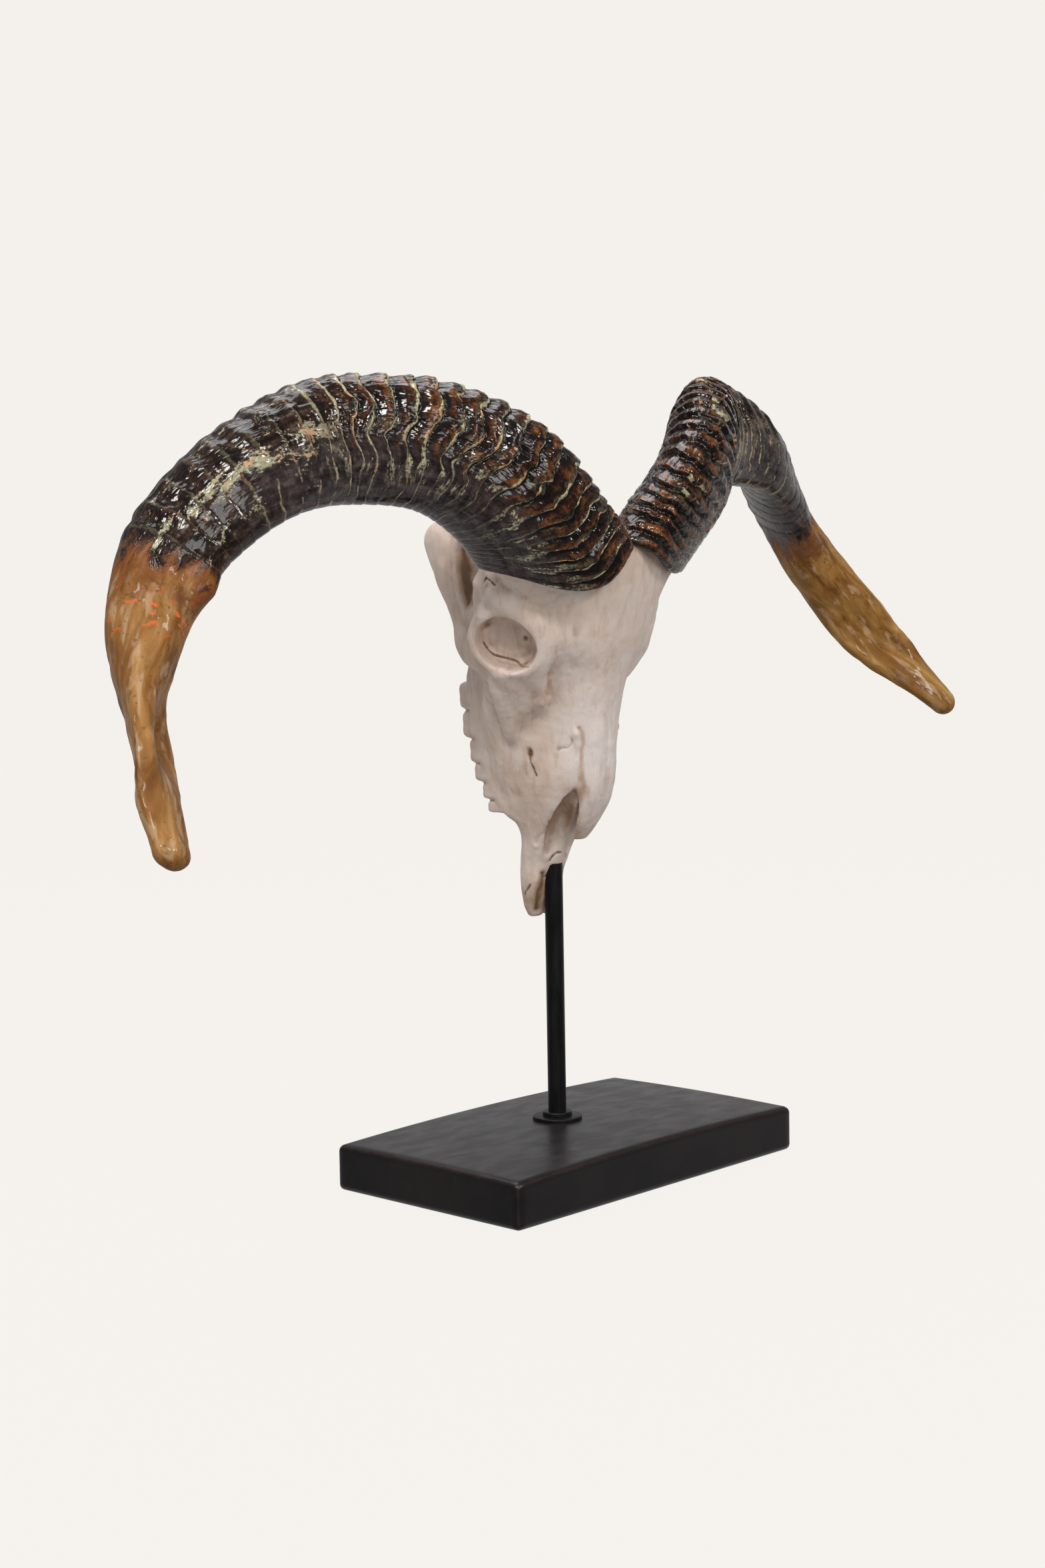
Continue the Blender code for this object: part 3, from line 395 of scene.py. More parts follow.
# ---------------------------------------------------------------- objects and meshes
def new_object(name, data, finish=None):
    obj = bpy.data.objects.new(name, data)
    bpy.context.scene.collection.objects.link(obj)
    if finish:
        data.materials.append(finish)
    return obj


def ride(piece, nodes):
    """Hangs a piece on the model, in place of the nodes that it stands for."""
    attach(piece, "root")
    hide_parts(*nodes)


def mesh_from(bm, name):
    bmesh.ops.recalc_face_normals(bm, faces=bm.faces)
    mesh = bpy.data.meshes.new(name)
    bm.to_mesh(mesh)
    bm.free()
    return mesh


def evaluated_mesh(obj, name):
    """The object's mesh with its modifiers applied, as a new mesh named `name`."""
    bpy.context.view_layer.update()
    graph = bpy.context.evaluated_depsgraph_get()
    mesh = bpy.data.meshes.new_from_object(obj.evaluated_get(graph), depsgraph=graph)
    mesh.name = name
    return mesh


def remove(obj):
    bpy.data.objects.remove(obj, do_unlink=True)


def baked(obj):
    """Applies the object's modifiers to its mesh."""
    mesh = evaluated_mesh(obj, obj.name)
    obj.modifiers.clear()
    obj.data = mesh
    return obj


def boolean_cut(obj, cutter):
    modifier = obj.modifiers.new("Cut", "BOOLEAN")
    modifier.operation = "DIFFERENCE"
    modifier.solver = "EXACT"
    modifier.object = cutter


def soften(obj, voxel, passes):
    """Fuse the object's overlapping pieces into one closed surface and smooth it."""
    remesh = obj.modifiers.new("Remesh", "REMESH")
    remesh.mode = "VOXEL"
    remesh.voxel_size = voxel
    smooth = obj.modifiers.new("Smooth", "SMOOTH")
    smooth.factor = 0.5
    smooth.iterations = passes


def store(mesh, name, values):
    """Keeps one number, or one vector, for each vertex, for the material to read."""
    kind, field = ("FLOAT_VECTOR", "vector") if values.ndim == 2 else ("FLOAT", "value")
    layer = mesh.attributes.new(name, kind, "POINT")
    layer.data.foreach_set(field, np.ascontiguousarray(values, dtype=np.float32).ravel())


def vertex_array(mesh):
    points = np.empty(len(mesh.vertices) * 3, np.float32)
    mesh.vertices.foreach_get("co", points)
    return points.reshape(-1, 3).astype(float)


def set_vertices(mesh, points):
    mesh.vertices.foreach_set("co", np.ascontiguousarray(points, dtype=np.float32).ravel())
    mesh.update()


def normal_array(mesh):
    normals = np.empty(len(mesh.vertices) * 3, np.float32)
    mesh.vertex_normals.foreach_get("vector", normals)
    return normals.reshape(-1, 3).astype(float)


def placed(points):
    """Points of the upright head, turned into the model's pose."""
    matrix = np.array(HEAD)
    return points @ matrix[:3, :3].T + matrix[:3, 3]


def lofted(bm, rings):
    """Skin a row of closed rings, with a cap of triangles round the middle of each end."""
    rows = [[bm.verts.new(point) for point in ring] for ring in rings]
    count = len(rows[0])
    for lower, upper in zip(rows, rows[1:]):
        for i in range(count):
            j = (i + 1) % count
            bm.faces.new((lower[i], lower[j], upper[j], upper[i]))
    for row in (rows[0], rows[-1]):
        middle = bm.verts.new(sum((vert.co for vert in row), Vector()) / count)
        for i in range(count):
            bm.faces.new((row[i], row[(i + 1) % count], middle))


# ---------------------------------------------------------------- node materials
class Field:
    """A node's output. Sums, differences and products of fields become maths nodes of the same tree."""

    def __init__(self, nodes, socket):
        self.nodes = nodes
        self.socket = socket

    def __add__(self, other):
        return self.nodes.maths("ADD", self, other)

    def __sub__(self, other):
        return self.nodes.maths("SUBTRACT", self, other)

    def __rsub__(self, other):
        return self.nodes.maths("SUBTRACT", other, self)

    def __mul__(self, other):
        return self.nodes.maths("MULTIPLY", self, other)


class NodeTree:
    """Adds nodes to a shader tree, and hands back their outputs as fields."""

    def __init__(self, tree):
        self.tree = tree

    def feed(self, socket, value):
        if isinstance(value, Field):
            self.tree.links.new(value.socket, socket)
        elif isinstance(value, tuple) and socket.type == "RGBA":
            socket.default_value = (*value, 1.0)
        else:
            socket.default_value = value

    def node(self, kind, output, inputs, **settings):
        """Adds a node with its settings and its inputs, which are numbers, colours or fields."""
        node = self.tree.nodes.new(kind)
        for name, value in settings.items():
            setattr(node, name, value)
        for key, value in inputs.items():
            self.feed(node.inputs[key], value)
        return Field(self, node.outputs[output])

    def maths(self, operation, first, second=0.0):
        return self.node("ShaderNodeMath", "Value", {0: first, 1: second}, operation=operation)

    def band(self, value, low, high, start=0.0, end=1.0):
        """Goes smoothly from `start` to `end` as the value goes from `low` to `high`."""
        inputs = {"Value": value, "From Min": low, "From Max": high, "To Min": start, "To Max": end}
        return self.node("ShaderNodeMapRange", "Result", inputs, interpolation_type="SMOOTHSTEP")


class Painter(NodeTree):
    """The node tree of one new material with a Principled shader."""

    def __init__(self, name):
        self.material = bpy.data.materials.new(name)
        self.material.use_nodes = True
        super().__init__(self.material.node_tree)
        self.shader = self.tree.nodes["Principled BSDF"]

    def finish(self, **inputs):
        """Feeds the shader's inputs by name, and returns the material."""
        for name, value in inputs.items():
            self.feed(self.shader.inputs[name.replace("_", " ").title()], value)
        return self.material

    def attribute(self, name, output="Fac"):
        return self.node("ShaderNodeAttribute", output, {}, attribute_name=name)

    def place(self):
        return self.node("ShaderNodeTexCoord", "Object", {})

    def stretched(self, vector, scale):
        return self.node("ShaderNodeVectorMath", "Vector", {0: vector, 1: scale}, operation="MULTIPLY")

    def noise(self, vector, size, detail=3.0, roughness=0.55, distortion=0.0):
        """Noise from 0 to 1 whose hills are about `size` metres apart."""
        inputs = {"Vector": vector, "Scale": 1.0 / size, "Detail": detail,
                  "Roughness": roughness, "Distortion": distortion}
        return self.node("ShaderNodeTexNoise", "Fac", inputs)

    def blend(self, share, first, second, mode="MIX"):
        """The first colour where the share is 0 and the second where it is 1."""
        inputs = {"Factor": share, 6: first, 7: second}
        return self.node("ShaderNodeMix", 2, inputs, data_type="RGBA", blend_type=mode)

    def ramp(self, value, stops):
        """A colour for each value, from (value, colour) stops."""
        node = self.tree.nodes.new("ShaderNodeValToRGB")
        elements = node.color_ramp.elements
        while len(elements) < len(stops):
            elements.new(0.5)
        for element, (place, colour) in zip(elements, stops):
            element.position = place
            element.color = (*colour, 1.0)
        self.feed(node.inputs["Fac"], value)
        return Field(self, node.outputs["Color"])

    def bump(self, height, distance, strength, under=None):
        """Bends the light as if the height, from 0 to 1, stood `distance` metres proud of the form."""
        inputs = {"Height": height, "Distance": distance, "Strength": strength}
        if under:
            inputs["Normal"] = under
        return self.node("ShaderNodeBump", "Normal", inputs)


# ---------------------------------------------------------------- horn finish
# Colours by value, for the ringed face, the worn stretch, the smooth face and the tip.
SIENNA_STOPS = (
    (0.46, (0.0034, 0.0016, 0.0013)),
    (0.53, (0.0100, 0.0036, 0.0020)),
    (0.59, (0.0400, 0.0118, 0.0028)),
    (0.64, (0.1000, 0.0320, 0.0062)),
    (0.72, (0.1900, 0.0700, 0.0150)),
)
RUBBED_STOPS = (
    (0.42, (0.0040, 0.0022, 0.0018)),
    (0.50, (0.0120, 0.0056, 0.0038)),
    (0.57, (0.0420, 0.0160, 0.0070)),
    (0.66, (0.1000, 0.0840, 0.0620)),
)
GREY_STOPS = (
    (0.38, (0.0100, 0.0064, 0.0062)),
    (0.51, (0.0390, 0.0280, 0.0275)),
    (0.64, (0.1050, 0.0830, 0.0790)),
)
OCHRE_STOPS = (
    (0.30, (0.125, 0.054, 0.017)),
    (0.45, (0.285, 0.150, 0.052)),
    (0.57, (0.400, 0.240, 0.098)),
    (0.72, (0.560, 0.400, 0.215)),
)
HORN_PAINT = {
    # partly the horn's own grey, partly painted sheen along the worn outer edge
    "outer grey and sheen": (0.046, 0.038, 0.040),
    # painted shade: the near-black of the ring valleys
    "crevice_shade": (0.0035, 0.0022, 0.0020),
    "rim": (0.006, 0.004, 0.0035),
    "cream": (0.55, 0.49, 0.28),
    "warm cream": (0.60, 0.31, 0.13),
    "face line": (0.24, 0.195, 0.15),
    "trail": (0.150, 0.155, 0.120),
    "dark khaki": (0.14, 0.14, 0.10),
    "khaki": (0.50, 0.47, 0.30),
    "dark patch": (0.12, 0.12, 0.08),
    "patch": (0.58, 0.53, 0.34),
    "peach": (0.55, 0.34, 0.20),
    "brown seam": (0.200, 0.066, 0.018),
    "pale streak": (0.52, 0.37, 0.22),
    "burnt": (0.110, 0.044, 0.016),
    "orange": (0.66, 0.130, 0.034),
    "shade": (0.105, 0.046, 0.020),
    "pit": (0.11, 0.055, 0.020),
}
# By side: how much of the ring edges has lost its cream, how far the dark end and the orange strokes show,
# how thick the patches of the worn stretch are, how much browner the rings are, and the tip's tint.
HORN_FINISHES = {
    -1: {"bare": 0.33, "charred": 0.90, "patched": 0.95, "browner": 0.015, "tint": (0.78, 0.64, 0.49)},
    1: {"bare": 0.58, "charred": 0.10, "patched": 0.25, "browner": 0.035, "tint": (0.78, 0.68, 0.45)},
}
HORN_SPECULAR = 0.06
HORN_COAT_ROUGHNESS = 0.085


def lacquer_colour(p, ridged, worn, within, look):
    """The dark part of the horn: sienna over black on the ringed face, grey-brown on the smooth face."""
    straight = p.attribute("straight", "Vector")
    hooped = p.stretched(p.attribute("aligned", "Vector"), (0.50, 0.50, 1.0))
    blotch = p.noise(hooped, 0.0058, 4.0, 0.60, 0.5)
    speckle = p.noise(straight, 0.0024, 3.0, 0.6, 0.4)
    streak = p.noise(p.stretched(straight, (1.0, 1.0, 0.28)), 0.0042, 4.0, 0.6, 0.3)
    slope = p.band(within, 0.02, 0.25) * p.band(within, 0.50, 0.95, 1.0, 0.0)
    ringed = p.ramp(blotch * 0.56 + speckle * 0.36 + slope * 0.10 + look["browner"], SIENNA_STOPS)
    ringed = p.blend(worn, ringed, p.ramp(streak * 0.6 + speckle * 0.4, RUBBED_STOPS))
    # On the outer edge of the worn stretch: a grey that is partly the horn's own and partly painted sheen.
    greyed_and_sheened = p.attribute("outer") * p.band(streak, 0.36, 0.56, 0.35, 1.0)
    ringed = p.blend(greyed_and_sheened, ringed, HORN_PAINT["outer grey and sheen"])
    smooth = p.ramp(streak * 0.5 + p.noise(hooped, 0.0036, 4.0, 0.6) * 0.5, GREY_STOPS)
    near_tip = p.band(p.attribute("share"), 0.44, 0.60) * look["charred"]
    return p.blend(p.maths("MAXIMUM", ridged, near_tip), smooth, ringed)


def ring_line(p, within, width):
    """1 on the crest of each ring, fading over its tip side; `width` is a share of the ring spacing."""
    return p.band(within, 0.010, 0.055) * p.band(within - width, 0.0, 0.07, 1.0, 0.0)


def ring_edges(p, colour, ridged, within, fine, look):
    """Broken khaki, cream and orange lines along the rings, and how strong they are."""
    straight = p.attribute("straight", "Vector")
    aligned = p.attribute("aligned", "Vector")
    edging = p.attribute("edging")
    frayed = p.band(fine, 0.36, 0.50)
    width = p.band(p.noise(straight, 0.0120, 3.0, 0.6), 0.36, 0.66, 0.05, 0.21)
    kept = p.band(p.noise(aligned, 0.0150, 4.0, 0.60), look["bare"], look["bare"] + 0.08)
    face_kept = p.band(p.noise(aligned, 0.0105, 4.0, 0.65), 0.44, 0.52)
    face_kept = face_kept * p.band(p.attribute("share"), 0.46, 0.58, 1.0, 0.15)
    face = 1.0 - ridged
    line = ring_line(p, within, width) * kept * ridged
    line = line + ring_line(p, within, width * 0.85) * face_kept * face
    line = line * edging * (frayed * 0.65 + 0.35)

    bloom = p.band(p.noise(p.stretched(aligned, (0.35, 0.35, 1.0)), 0.0058, 4.0, 0.66), 0.56, 0.61)
    khaki = p.blend(p.band(fine, 0.40, 0.60), HORN_PAINT["dark khaki"], HORN_PAINT["khaki"])
    colour = p.blend(bloom * frayed * p.attribute("khaki") * 0.90, colour, khaki)
    trail = p.band(within, 0.02, 0.10) * p.band(within, 0.10, 0.42, 1.0, 0.0)
    trail = trail * kept * ridged * edging * p.band(fine, 0.50, 0.58)
    colour = p.blend(trail * 0.60, colour, HORN_PAINT["trail"])
    warm = p.band(p.noise(straight, 0.019, 2.0), 0.50, 0.62)
    cream = p.blend(warm, HORN_PAINT["cream"], HORN_PAINT["warm cream"])
    cream = p.blend(face * 0.40, cream, HORN_PAINT["face line"])
    return p.blend(line, colour, cream), line


def worn_patches(p, colour, fine, look):
    """Mottled khaki and peach patches along the keel of the worn stretch."""
    straight = p.attribute("straight", "Vector")
    patches = p.noise(p.stretched(straight, (1.0, 1.0, 0.55)), 0.0095, 6.0, 0.72, 0.6)
    patches = patches + p.attribute("keel") * 0.125 + (fine - 0.5) * 0.34
    patches = p.band(patches, 0.602, 0.680) * p.attribute("worn")
    khaki = p.blend(fine, HORN_PAINT["dark patch"], HORN_PAINT["patch"])
    peach = p.band(p.noise(straight, 0.0085, 3.0, 0.6), 0.53, 0.62)
    return p.blend(patches * look["patched"], colour, p.blend(peach, khaki, HORN_PAINT["peach"]))


def orange_strokes(p, straight):
    """Short strokes that follow the last growth rings."""
    ripple = p.maths("FRACT", p.attribute("ring") * 1.9 + p.noise(straight, 0.0220, 3.0, 0.6) * 4.0)
    stroke = p.band(ripple, 0.0, 0.12) * p.band(ripple, 0.24, 0.40, 1.0, 0.0)
    return stroke * p.band(p.noise(straight, 0.0100, 3.0, 0.6), 0.50, 0.57)


def ochre_colour(p, look):
    """The pale tip: streaked ochre with orange strokes, a brown crease and dark pits."""
    straight = p.attribute("straight", "Vector")
    lengthwise = p.stretched(straight, (1.0, 1.0, 0.28))
    ochre = p.ramp(p.noise(lengthwise, 0.0125, 5.0, 0.60, 0.6), OCHRE_STOPS)
    ochre = p.blend(1.0, ochre, look["tint"], "MULTIPLY")
    paler = p.band(p.noise(lengthwise, 0.0075, 3.0, 0.55, 0.4), 0.52, 0.68, 0.0, 0.50)
    ochre = p.blend(paler, ochre, HORN_PAINT["pale streak"])
    burnt = p.band(p.noise(straight, 0.0090, 5.0, 0.68, 0.5), 0.52, 0.60) * p.attribute("burnt")
    ochre = p.blend(burnt * 0.85, ochre, HORN_PAINT["burnt"])
    stroked = p.band(p.attribute("stroked"), 0.2, 0.9, 0.0, look["charred"])
    ochre = p.blend(stroked * orange_strokes(p, straight), ochre, HORN_PAINT["orange"])
    shade = p.attribute("brown") * p.band(p.noise(lengthwise, 0.0100, 4.0, 0.65), 0.36, 0.56)
    ochre = p.blend(shade, ochre, HORN_PAINT["shade"])
    pits = p.band(p.noise(straight, 0.0034, 2.0, 0.5), 0.29, 0.35, 1.0, 0.0)
    return p.blend(pits * 0.6, ochre, HORN_PAINT["pit"])


def horn_material(name, look):
    """Brown-black lacquered horn with cream ring edges, a grey-brown inner face and an ochre tip."""
    p = Painter(name)
    straight = p.attribute("straight", "Vector")
    ridged = p.attribute("ridged")
    worn = p.attribute("worn")
    speckle = p.noise(straight, 0.0024, 3.0, 0.6, 0.4)
    fine = p.noise(straight, 0.0018, 3.0, 0.65)
    within = p.maths("FRACT", p.attribute("ring") + (speckle - 0.5) * 0.16)
    colour = lacquer_colour(p, ridged, worn, within, look)
    # Painted shade: the valley at the foot of each ring's lip is laid near-black, where shade falls.
    crevice_shade = p.band(within, 0.78, 0.98) + p.band(within, 0.0, 0.03, 1.0, 0.0)
    colour = p.blend(crevice_shade * ridged * 0.80, colour, HORN_PAINT["crevice_shade"])
    colour, line = ring_edges(p, colour, ridged, within, fine, look)
    colour = worn_patches(p, colour, fine, look)

    ragged = p.noise(p.stretched(straight, (1.0, 1.0, 0.45)), 0.0110, 5.0, 0.68, 0.6)
    past_seam = p.attribute("share") + (ragged - 0.5) * 0.20 - p.attribute("pale_from")
    ochre = p.blend(p.band(past_seam, -0.010, 0.065), HORN_PAINT["brown seam"], ochre_colour(p, look))
    pale = p.band(past_seam, -0.022, 0.014)
    colour = p.blend(pale, colour, ochre)
    colour = p.blend(p.attribute("rim"), colour, HORN_PAINT["rim"])

    lumps = p.noise(p.stretched(p.attribute("aligned", "Vector"), (1.25, 1.25, 0.60)), 0.0048, 2.0, 0.45, 0.3)
    lumpy = (1.0 - pale) * p.band(ridged, 0.0, 1.0, 0.30, 1.0)
    film = p.bump(lumps * lumpy, 0.0015, 0.85)
    film = p.bump(p.noise(p.stretched(straight, (1.0, 1.0, 0.5)), 0.0090, 2.0), 0.0005, 0.6, film)
    beads = p.noise(p.stretched(straight, (1.2, 1.2, 0.8)), 0.0021, 2.0, 0.5)
    normal = p.bump(beads * lumpy, 0.00045, 0.8, film)
    normal = p.bump(line, 0.0003, 0.8, normal)
    p.shader.inputs["Specular IOR Level"].default_value = HORN_SPECULAR
    p.shader.inputs["Coat Roughness"].default_value = HORN_COAT_ROUGHNESS
    return p.finish(
        base_color=colour,
        roughness=p.band(speckle, 0.3, 0.7, 0.38, 0.55),
        coat_weight=p.band(worn, 0.0, 1.0, 0.85, 0.65) * p.band(pale, 0.0, 1.0, 1.0, 0.30),
        normal=normal,
        coat_normal=film,
    )


# ---------------------------------------------------------------- skull and stand finishes
BONE_STOPS = (
    (0.32, (0.62, 0.485, 0.400)),
    (0.50, (0.68, 0.555, 0.475)),
    (0.68, (0.71, 0.620, 0.560)),
)
BONE_PAINT = {
    "cool": (0.70, 0.635, 0.610),
    "brushed": (0.52, 0.375, 0.290),
    "thin wash": (0.400, 0.250, 0.160),
    "thick wash": (0.145, 0.080, 0.042),
    "putty": (0.56, 0.46, 0.39),
    "crack": (0.100, 0.052, 0.028),
    "speck": (0.30, 0.20, 0.14),
}
BLOCK_STOPS = ((0.35, (0.0070, 0.0058, 0.0064)), (0.65, (0.0125, 0.0090, 0.0092)))
BLOCK_WORN = (0.045, 0.024, 0.020)
BLOCK_DUST = (0.050, 0.044, 0.043)
METAL_STOPS = ((0.35, (0.0030, 0.0028, 0.0030)), (0.70, (0.0070, 0.0066, 0.0068)))
BONE_SPECULAR = 0.35
METAL_SPECULAR = 0.30


def bone_material(name):
    """Satin painted resin: warm off-white bone with a brown wash in its hollows, pits and cracks, and painted
    shade along the temple hollows.
    """
    p = Painter(name)
    place = p.place()
    fleck = p.noise(place, 0.0035, 4.0, 0.65)
    brushed = p.noise(p.stretched(place, (1.0, 1.0, 0.22)), 0.0060, 4.0, 0.6, 0.5)
    base = p.ramp(p.noise(place, 0.030, 4.0, 0.6, 0.4), BONE_STOPS)
    base = p.blend(p.attribute("cool"), base, BONE_PAINT["cool"])
    base = p.blend(p.band(brushed, 0.46, 0.70, 0.0, 0.50), base, BONE_PAINT["brushed"])
    # The wash is mostly brown wash, with painted shade along the temple hollows.
    wash_and_shade = p.attribute("wash_and_shade") + (fleck - 0.5) * 0.50 + (brushed - 0.5) * 0.50
    base = p.blend(p.band(wash_and_shade, 0.12, 0.90, 0.0, 0.85), base, BONE_PAINT["thin wash"])
    base = p.blend(p.band(wash_and_shade, 0.80, 1.50, 0.0, 0.90), base, BONE_PAINT["thick wash"])
    base = p.blend(p.attribute("putty"), base, BONE_PAINT["putty"])
    from_crack = p.attribute("crack_mm") + (p.noise(place, 0.0024, 4.0, 0.65) - 0.5) * 1.6
    crack = p.band(from_crack, 0.15, 0.95, 1.0, 0.0)
    base = p.blend(crack * 0.8, base, BONE_PAINT["crack"])
    base = p.blend(p.band(p.noise(place, 0.0016, 2.0), 0.68, 0.76, 0.0, 0.45), base, BONE_PAINT["speck"])
    normal = p.bump(p.noise(place, 0.0085, 3.0, 0.5), 0.0010, 0.35)
    normal = p.bump(fleck, 0.00030, 0.6, normal)
    normal = p.bump(crack, -0.0005, 1.0, normal)
    p.shader.inputs["Specular IOR Level"].default_value = BONE_SPECULAR
    return p.finish(base_color=base, roughness=p.band(fleck, 0.3, 0.7, 0.42, 0.58), normal=normal)


def block_material(name):
    """Satin black paint on wood, a little brown where it is thin, with faint wear along the edges."""
    p = Painter(name)
    place = p.place()
    mottle = p.noise(p.stretched(place, (0.45, 1.0, 1.0)), 0.0110, 4.0, 0.55, 0.4)
    dust = p.noise(place, 0.0016, 3.0, 0.7)
    colour = p.ramp(p.noise(place, 0.055, 3.0, 0.5, 0.3), BLOCK_STOPS)
    from_edge = p.attribute("edge_mm") + (p.noise(place, 0.0120, 5.0, 0.7) - 0.5) * 9.0
    colour = p.blend(p.band(from_edge, 0.0, 2.2, 1.0, 0.0) * 0.35, colour, BLOCK_WORN)
    colour = p.blend(p.band(dust, 0.66, 0.82, 0.0, 0.30), colour, BLOCK_DUST)
    normal = p.bump(dust, 0.00004, 0.5, p.bump(mottle, 0.00035, 0.30))
    return p.finish(base_color=colour, roughness=p.band(mottle, 0.3, 0.7, 0.30, 0.40), normal=normal)


def metal_material(name):
    """Black satin enamel on steel."""
    p = Painter(name)
    place = p.place()
    rubbed = p.noise(p.stretched(place, (1.0, 1.0, 0.18)), 0.0040, 4.0, 0.6)
    p.shader.inputs["Specular IOR Level"].default_value = METAL_SPECULAR
    return p.finish(
        base_color=p.ramp(rubbed, METAL_STOPS),
        roughness=p.band(rubbed, 0.3, 0.7, 0.36, 0.50),
        normal=p.bump(p.noise(place, 0.0011, 3.0, 0.6), 0.00004, 0.7),
    )


# ---------------------------------------------------------------- stand
def block_top(x, y):
    """Height of the block's crowned top."""
    along = 1 - (2 * x / BLOCK_LENGTH) ** 2
    across = 1 - (2 * y / BLOCK_DEPTH) ** 2
    return BLOCK_EDGE_HEIGHT + BLOCK_CROWN_LONG * along + BLOCK_CROWN_SHORT * across


def make_block(finish):
    """The block as a fine shell of cube points, pushed to its size and eased along its edges."""
    bm = bmesh.new()
    bmesh.ops.create_cube(bm, size=1.0)
    bmesh.ops.subdivide_edges(bm, edges=bm.edges[:], cuts=BLOCK_CUTS, use_grid_fill=True)
    mesh = mesh_from(bm, "stand_block_skin")
    share = vertex_array(mesh)
    from_edge = (0.5 - np.abs(share)) ** BLOCK_CROWDING * 0.5 ** (1 - BLOCK_CROWDING)
    share = np.sign(share) * (0.5 - from_edge)
    x = share[:, 0] * BLOCK_LENGTH
    y = share[:, 1] * BLOCK_DEPTH
    top = block_top(x, y)
    points = np.stack([x, y, (share[:, 2] + 0.5) * top], axis=1)
    low = np.stack([-BLOCK_LENGTH / 2 + 0 * x, -BLOCK_DEPTH / 2 + 0 * x, 0 * x], axis=1)
    high = np.stack([BLOCK_LENGTH / 2 + 0 * x, BLOCK_DEPTH / 2 + 0 * x, top], axis=1)
    depths = np.sort(np.minimum(points - low, high - points), axis=1)
    inner = np.clip(points, low + BLOCK_EASE, high - BLOCK_EASE)
    away = points - inner
    reach = np.maximum(np.linalg.norm(away, axis=1, keepdims=True), 1e-9)
    eased = inner + away / reach * np.minimum(reach, BLOCK_EASE)
    set_vertices(mesh, eased)
    store(mesh, "edge_mm", depths[:, 1] * 1000)
    mesh.shade_smooth()
    block = new_object(mesh.name, mesh, finish)
    ride(block, ("stand_block",))


def turned(name, profile, finish, node, steps=72):
    """A round piece on the rod's axis, turned from (radius, height) points."""
    bm = bmesh.new()
    rings = []
    for radius, height in profile:
        rings.append([
            Vector((ROD_X + radius * math.cos(a), ROD_Y + radius * math.sin(a), height))
            for a in circle(steps)
        ])
    lofted(bm, rings)
    mesh = mesh_from(bm, name)
    mesh.shade_smooth()
    mesh.set_sharp_from_angle(angle=math.radians(50))
    obj = new_object(name, mesh, finish)
    ride(obj, (node,))


def disc_profile(radius, bottom, top, ease):
    """The outer side of a disc whose upper edge is rounded."""
    curve = [(radius - ease + ease * math.cos(a), top - ease + ease * math.sin(a))
             for a in np.linspace(0.0, math.pi / 2, 6)]
    return [(radius, bottom), *curve, (ROD_RADIUS, top)]


def make_stand(block_finish, metal_finish):
    make_block(block_finish)
    flange_bottom = block_top(ROD_X, ROD_Y) - FLANGE_SINK + GAP
    flange_top = flange_bottom + FLANGE_HEIGHT
    collar_bottom = flange_top + GAP
    collar_top = collar_bottom + COLLAR_HEIGHT
    turned("stand_flange_skin", disc_profile(FLANGE_RADIUS, flange_bottom, flange_top, FLANGE_EASE),
           metal_finish, "stand_flange")
    turned("stand_collar_skin", disc_profile(COLLAR_RADIUS, flange_top, collar_top, COLLAR_EASE),
           metal_finish, "stand_collar")
    heights = np.linspace(flange_bottom, ROD_TOP, 40)
    turned("stand_rod_skin", [(ROD_RADIUS, height) for height in heights], metal_finish, "stand_rod")


# ---------------------------------------------------------------- horns
def horn_table():
    """Distances along the right horn, and there its centre, two section directions and two half sizes."""
    count = HORN_TABLE_ROWS
    centres = smooth_curve(HORN_PATH, count)
    tangents = np.gradient(centres, axis=0)
    tangents /= np.linalg.norm(tangents, axis=1)[:, None]
    across = np.array((0.0, 1.0, 0.0))
    first = []
    for tangent in tangents:
        across = across - tangent * across.dot(tangent)
        across /= np.linalg.norm(across)
        first.append(across)
    first = np.array(first)
    second = np.cross(tangents, first)
    turn = np.radians(smooth_curve(HORN_TURN, count))[:, None]
    long_axis = np.cos(turn) * first + np.sin(turn) * second
    short_axis = np.cross(tangents, long_axis)
    sizes = np.stack([smooth_curve(HORN_LONG_RADIUS, count), smooth_curve(HORN_SHORT_RADIUS, count)], axis=1)
    steps = np.linalg.norm(np.diff(centres, axis=0), axis=1)
    distance = np.concatenate(((0.0,), np.cumsum(steps)))
    table = np.hstack([centres, long_axis, short_axis, sizes])
    root = table[0].copy()
    root[:3] -= tangents[0] * HORN_ROOT
    return np.concatenate(((-HORN_ROOT,), distance)), np.vstack([root, table])


def horn_points(distance, table, where, angle):
    """Points of the smooth horn, `where` along it and `angle` round it, and their straight places."""
    row = [np.interp(where, distance, column) for column in table.T]
    centre, long_axis, short_axis = (np.stack(row[k:k + 3], axis=-1) for k in (0, 3, 6))
    along_long = np.cos(angle) * row[9]
    along_short = np.sin(angle) * row[10]
    points = centre + along_long[..., None] * long_axis + along_short[..., None] * short_axis
    return points, np.stack([along_long, along_short, where], axis=-1)


def base_shift(side, angle):
    """How far along the horn its base edge lies, at this angle round the section."""
    off_tongue = turn_between(angle, HORN_BASE_TONGUE_AT) / HORN_BASE_TONGUE_SPREAD
    return (HORN_BASE_START + HORN_BASE_SLANT * np.cos(angle - HORN_BASE_SLANT_AT)
            - HORN_BASE_TONGUE[side] * np.exp(-off_tongue * off_tongue))


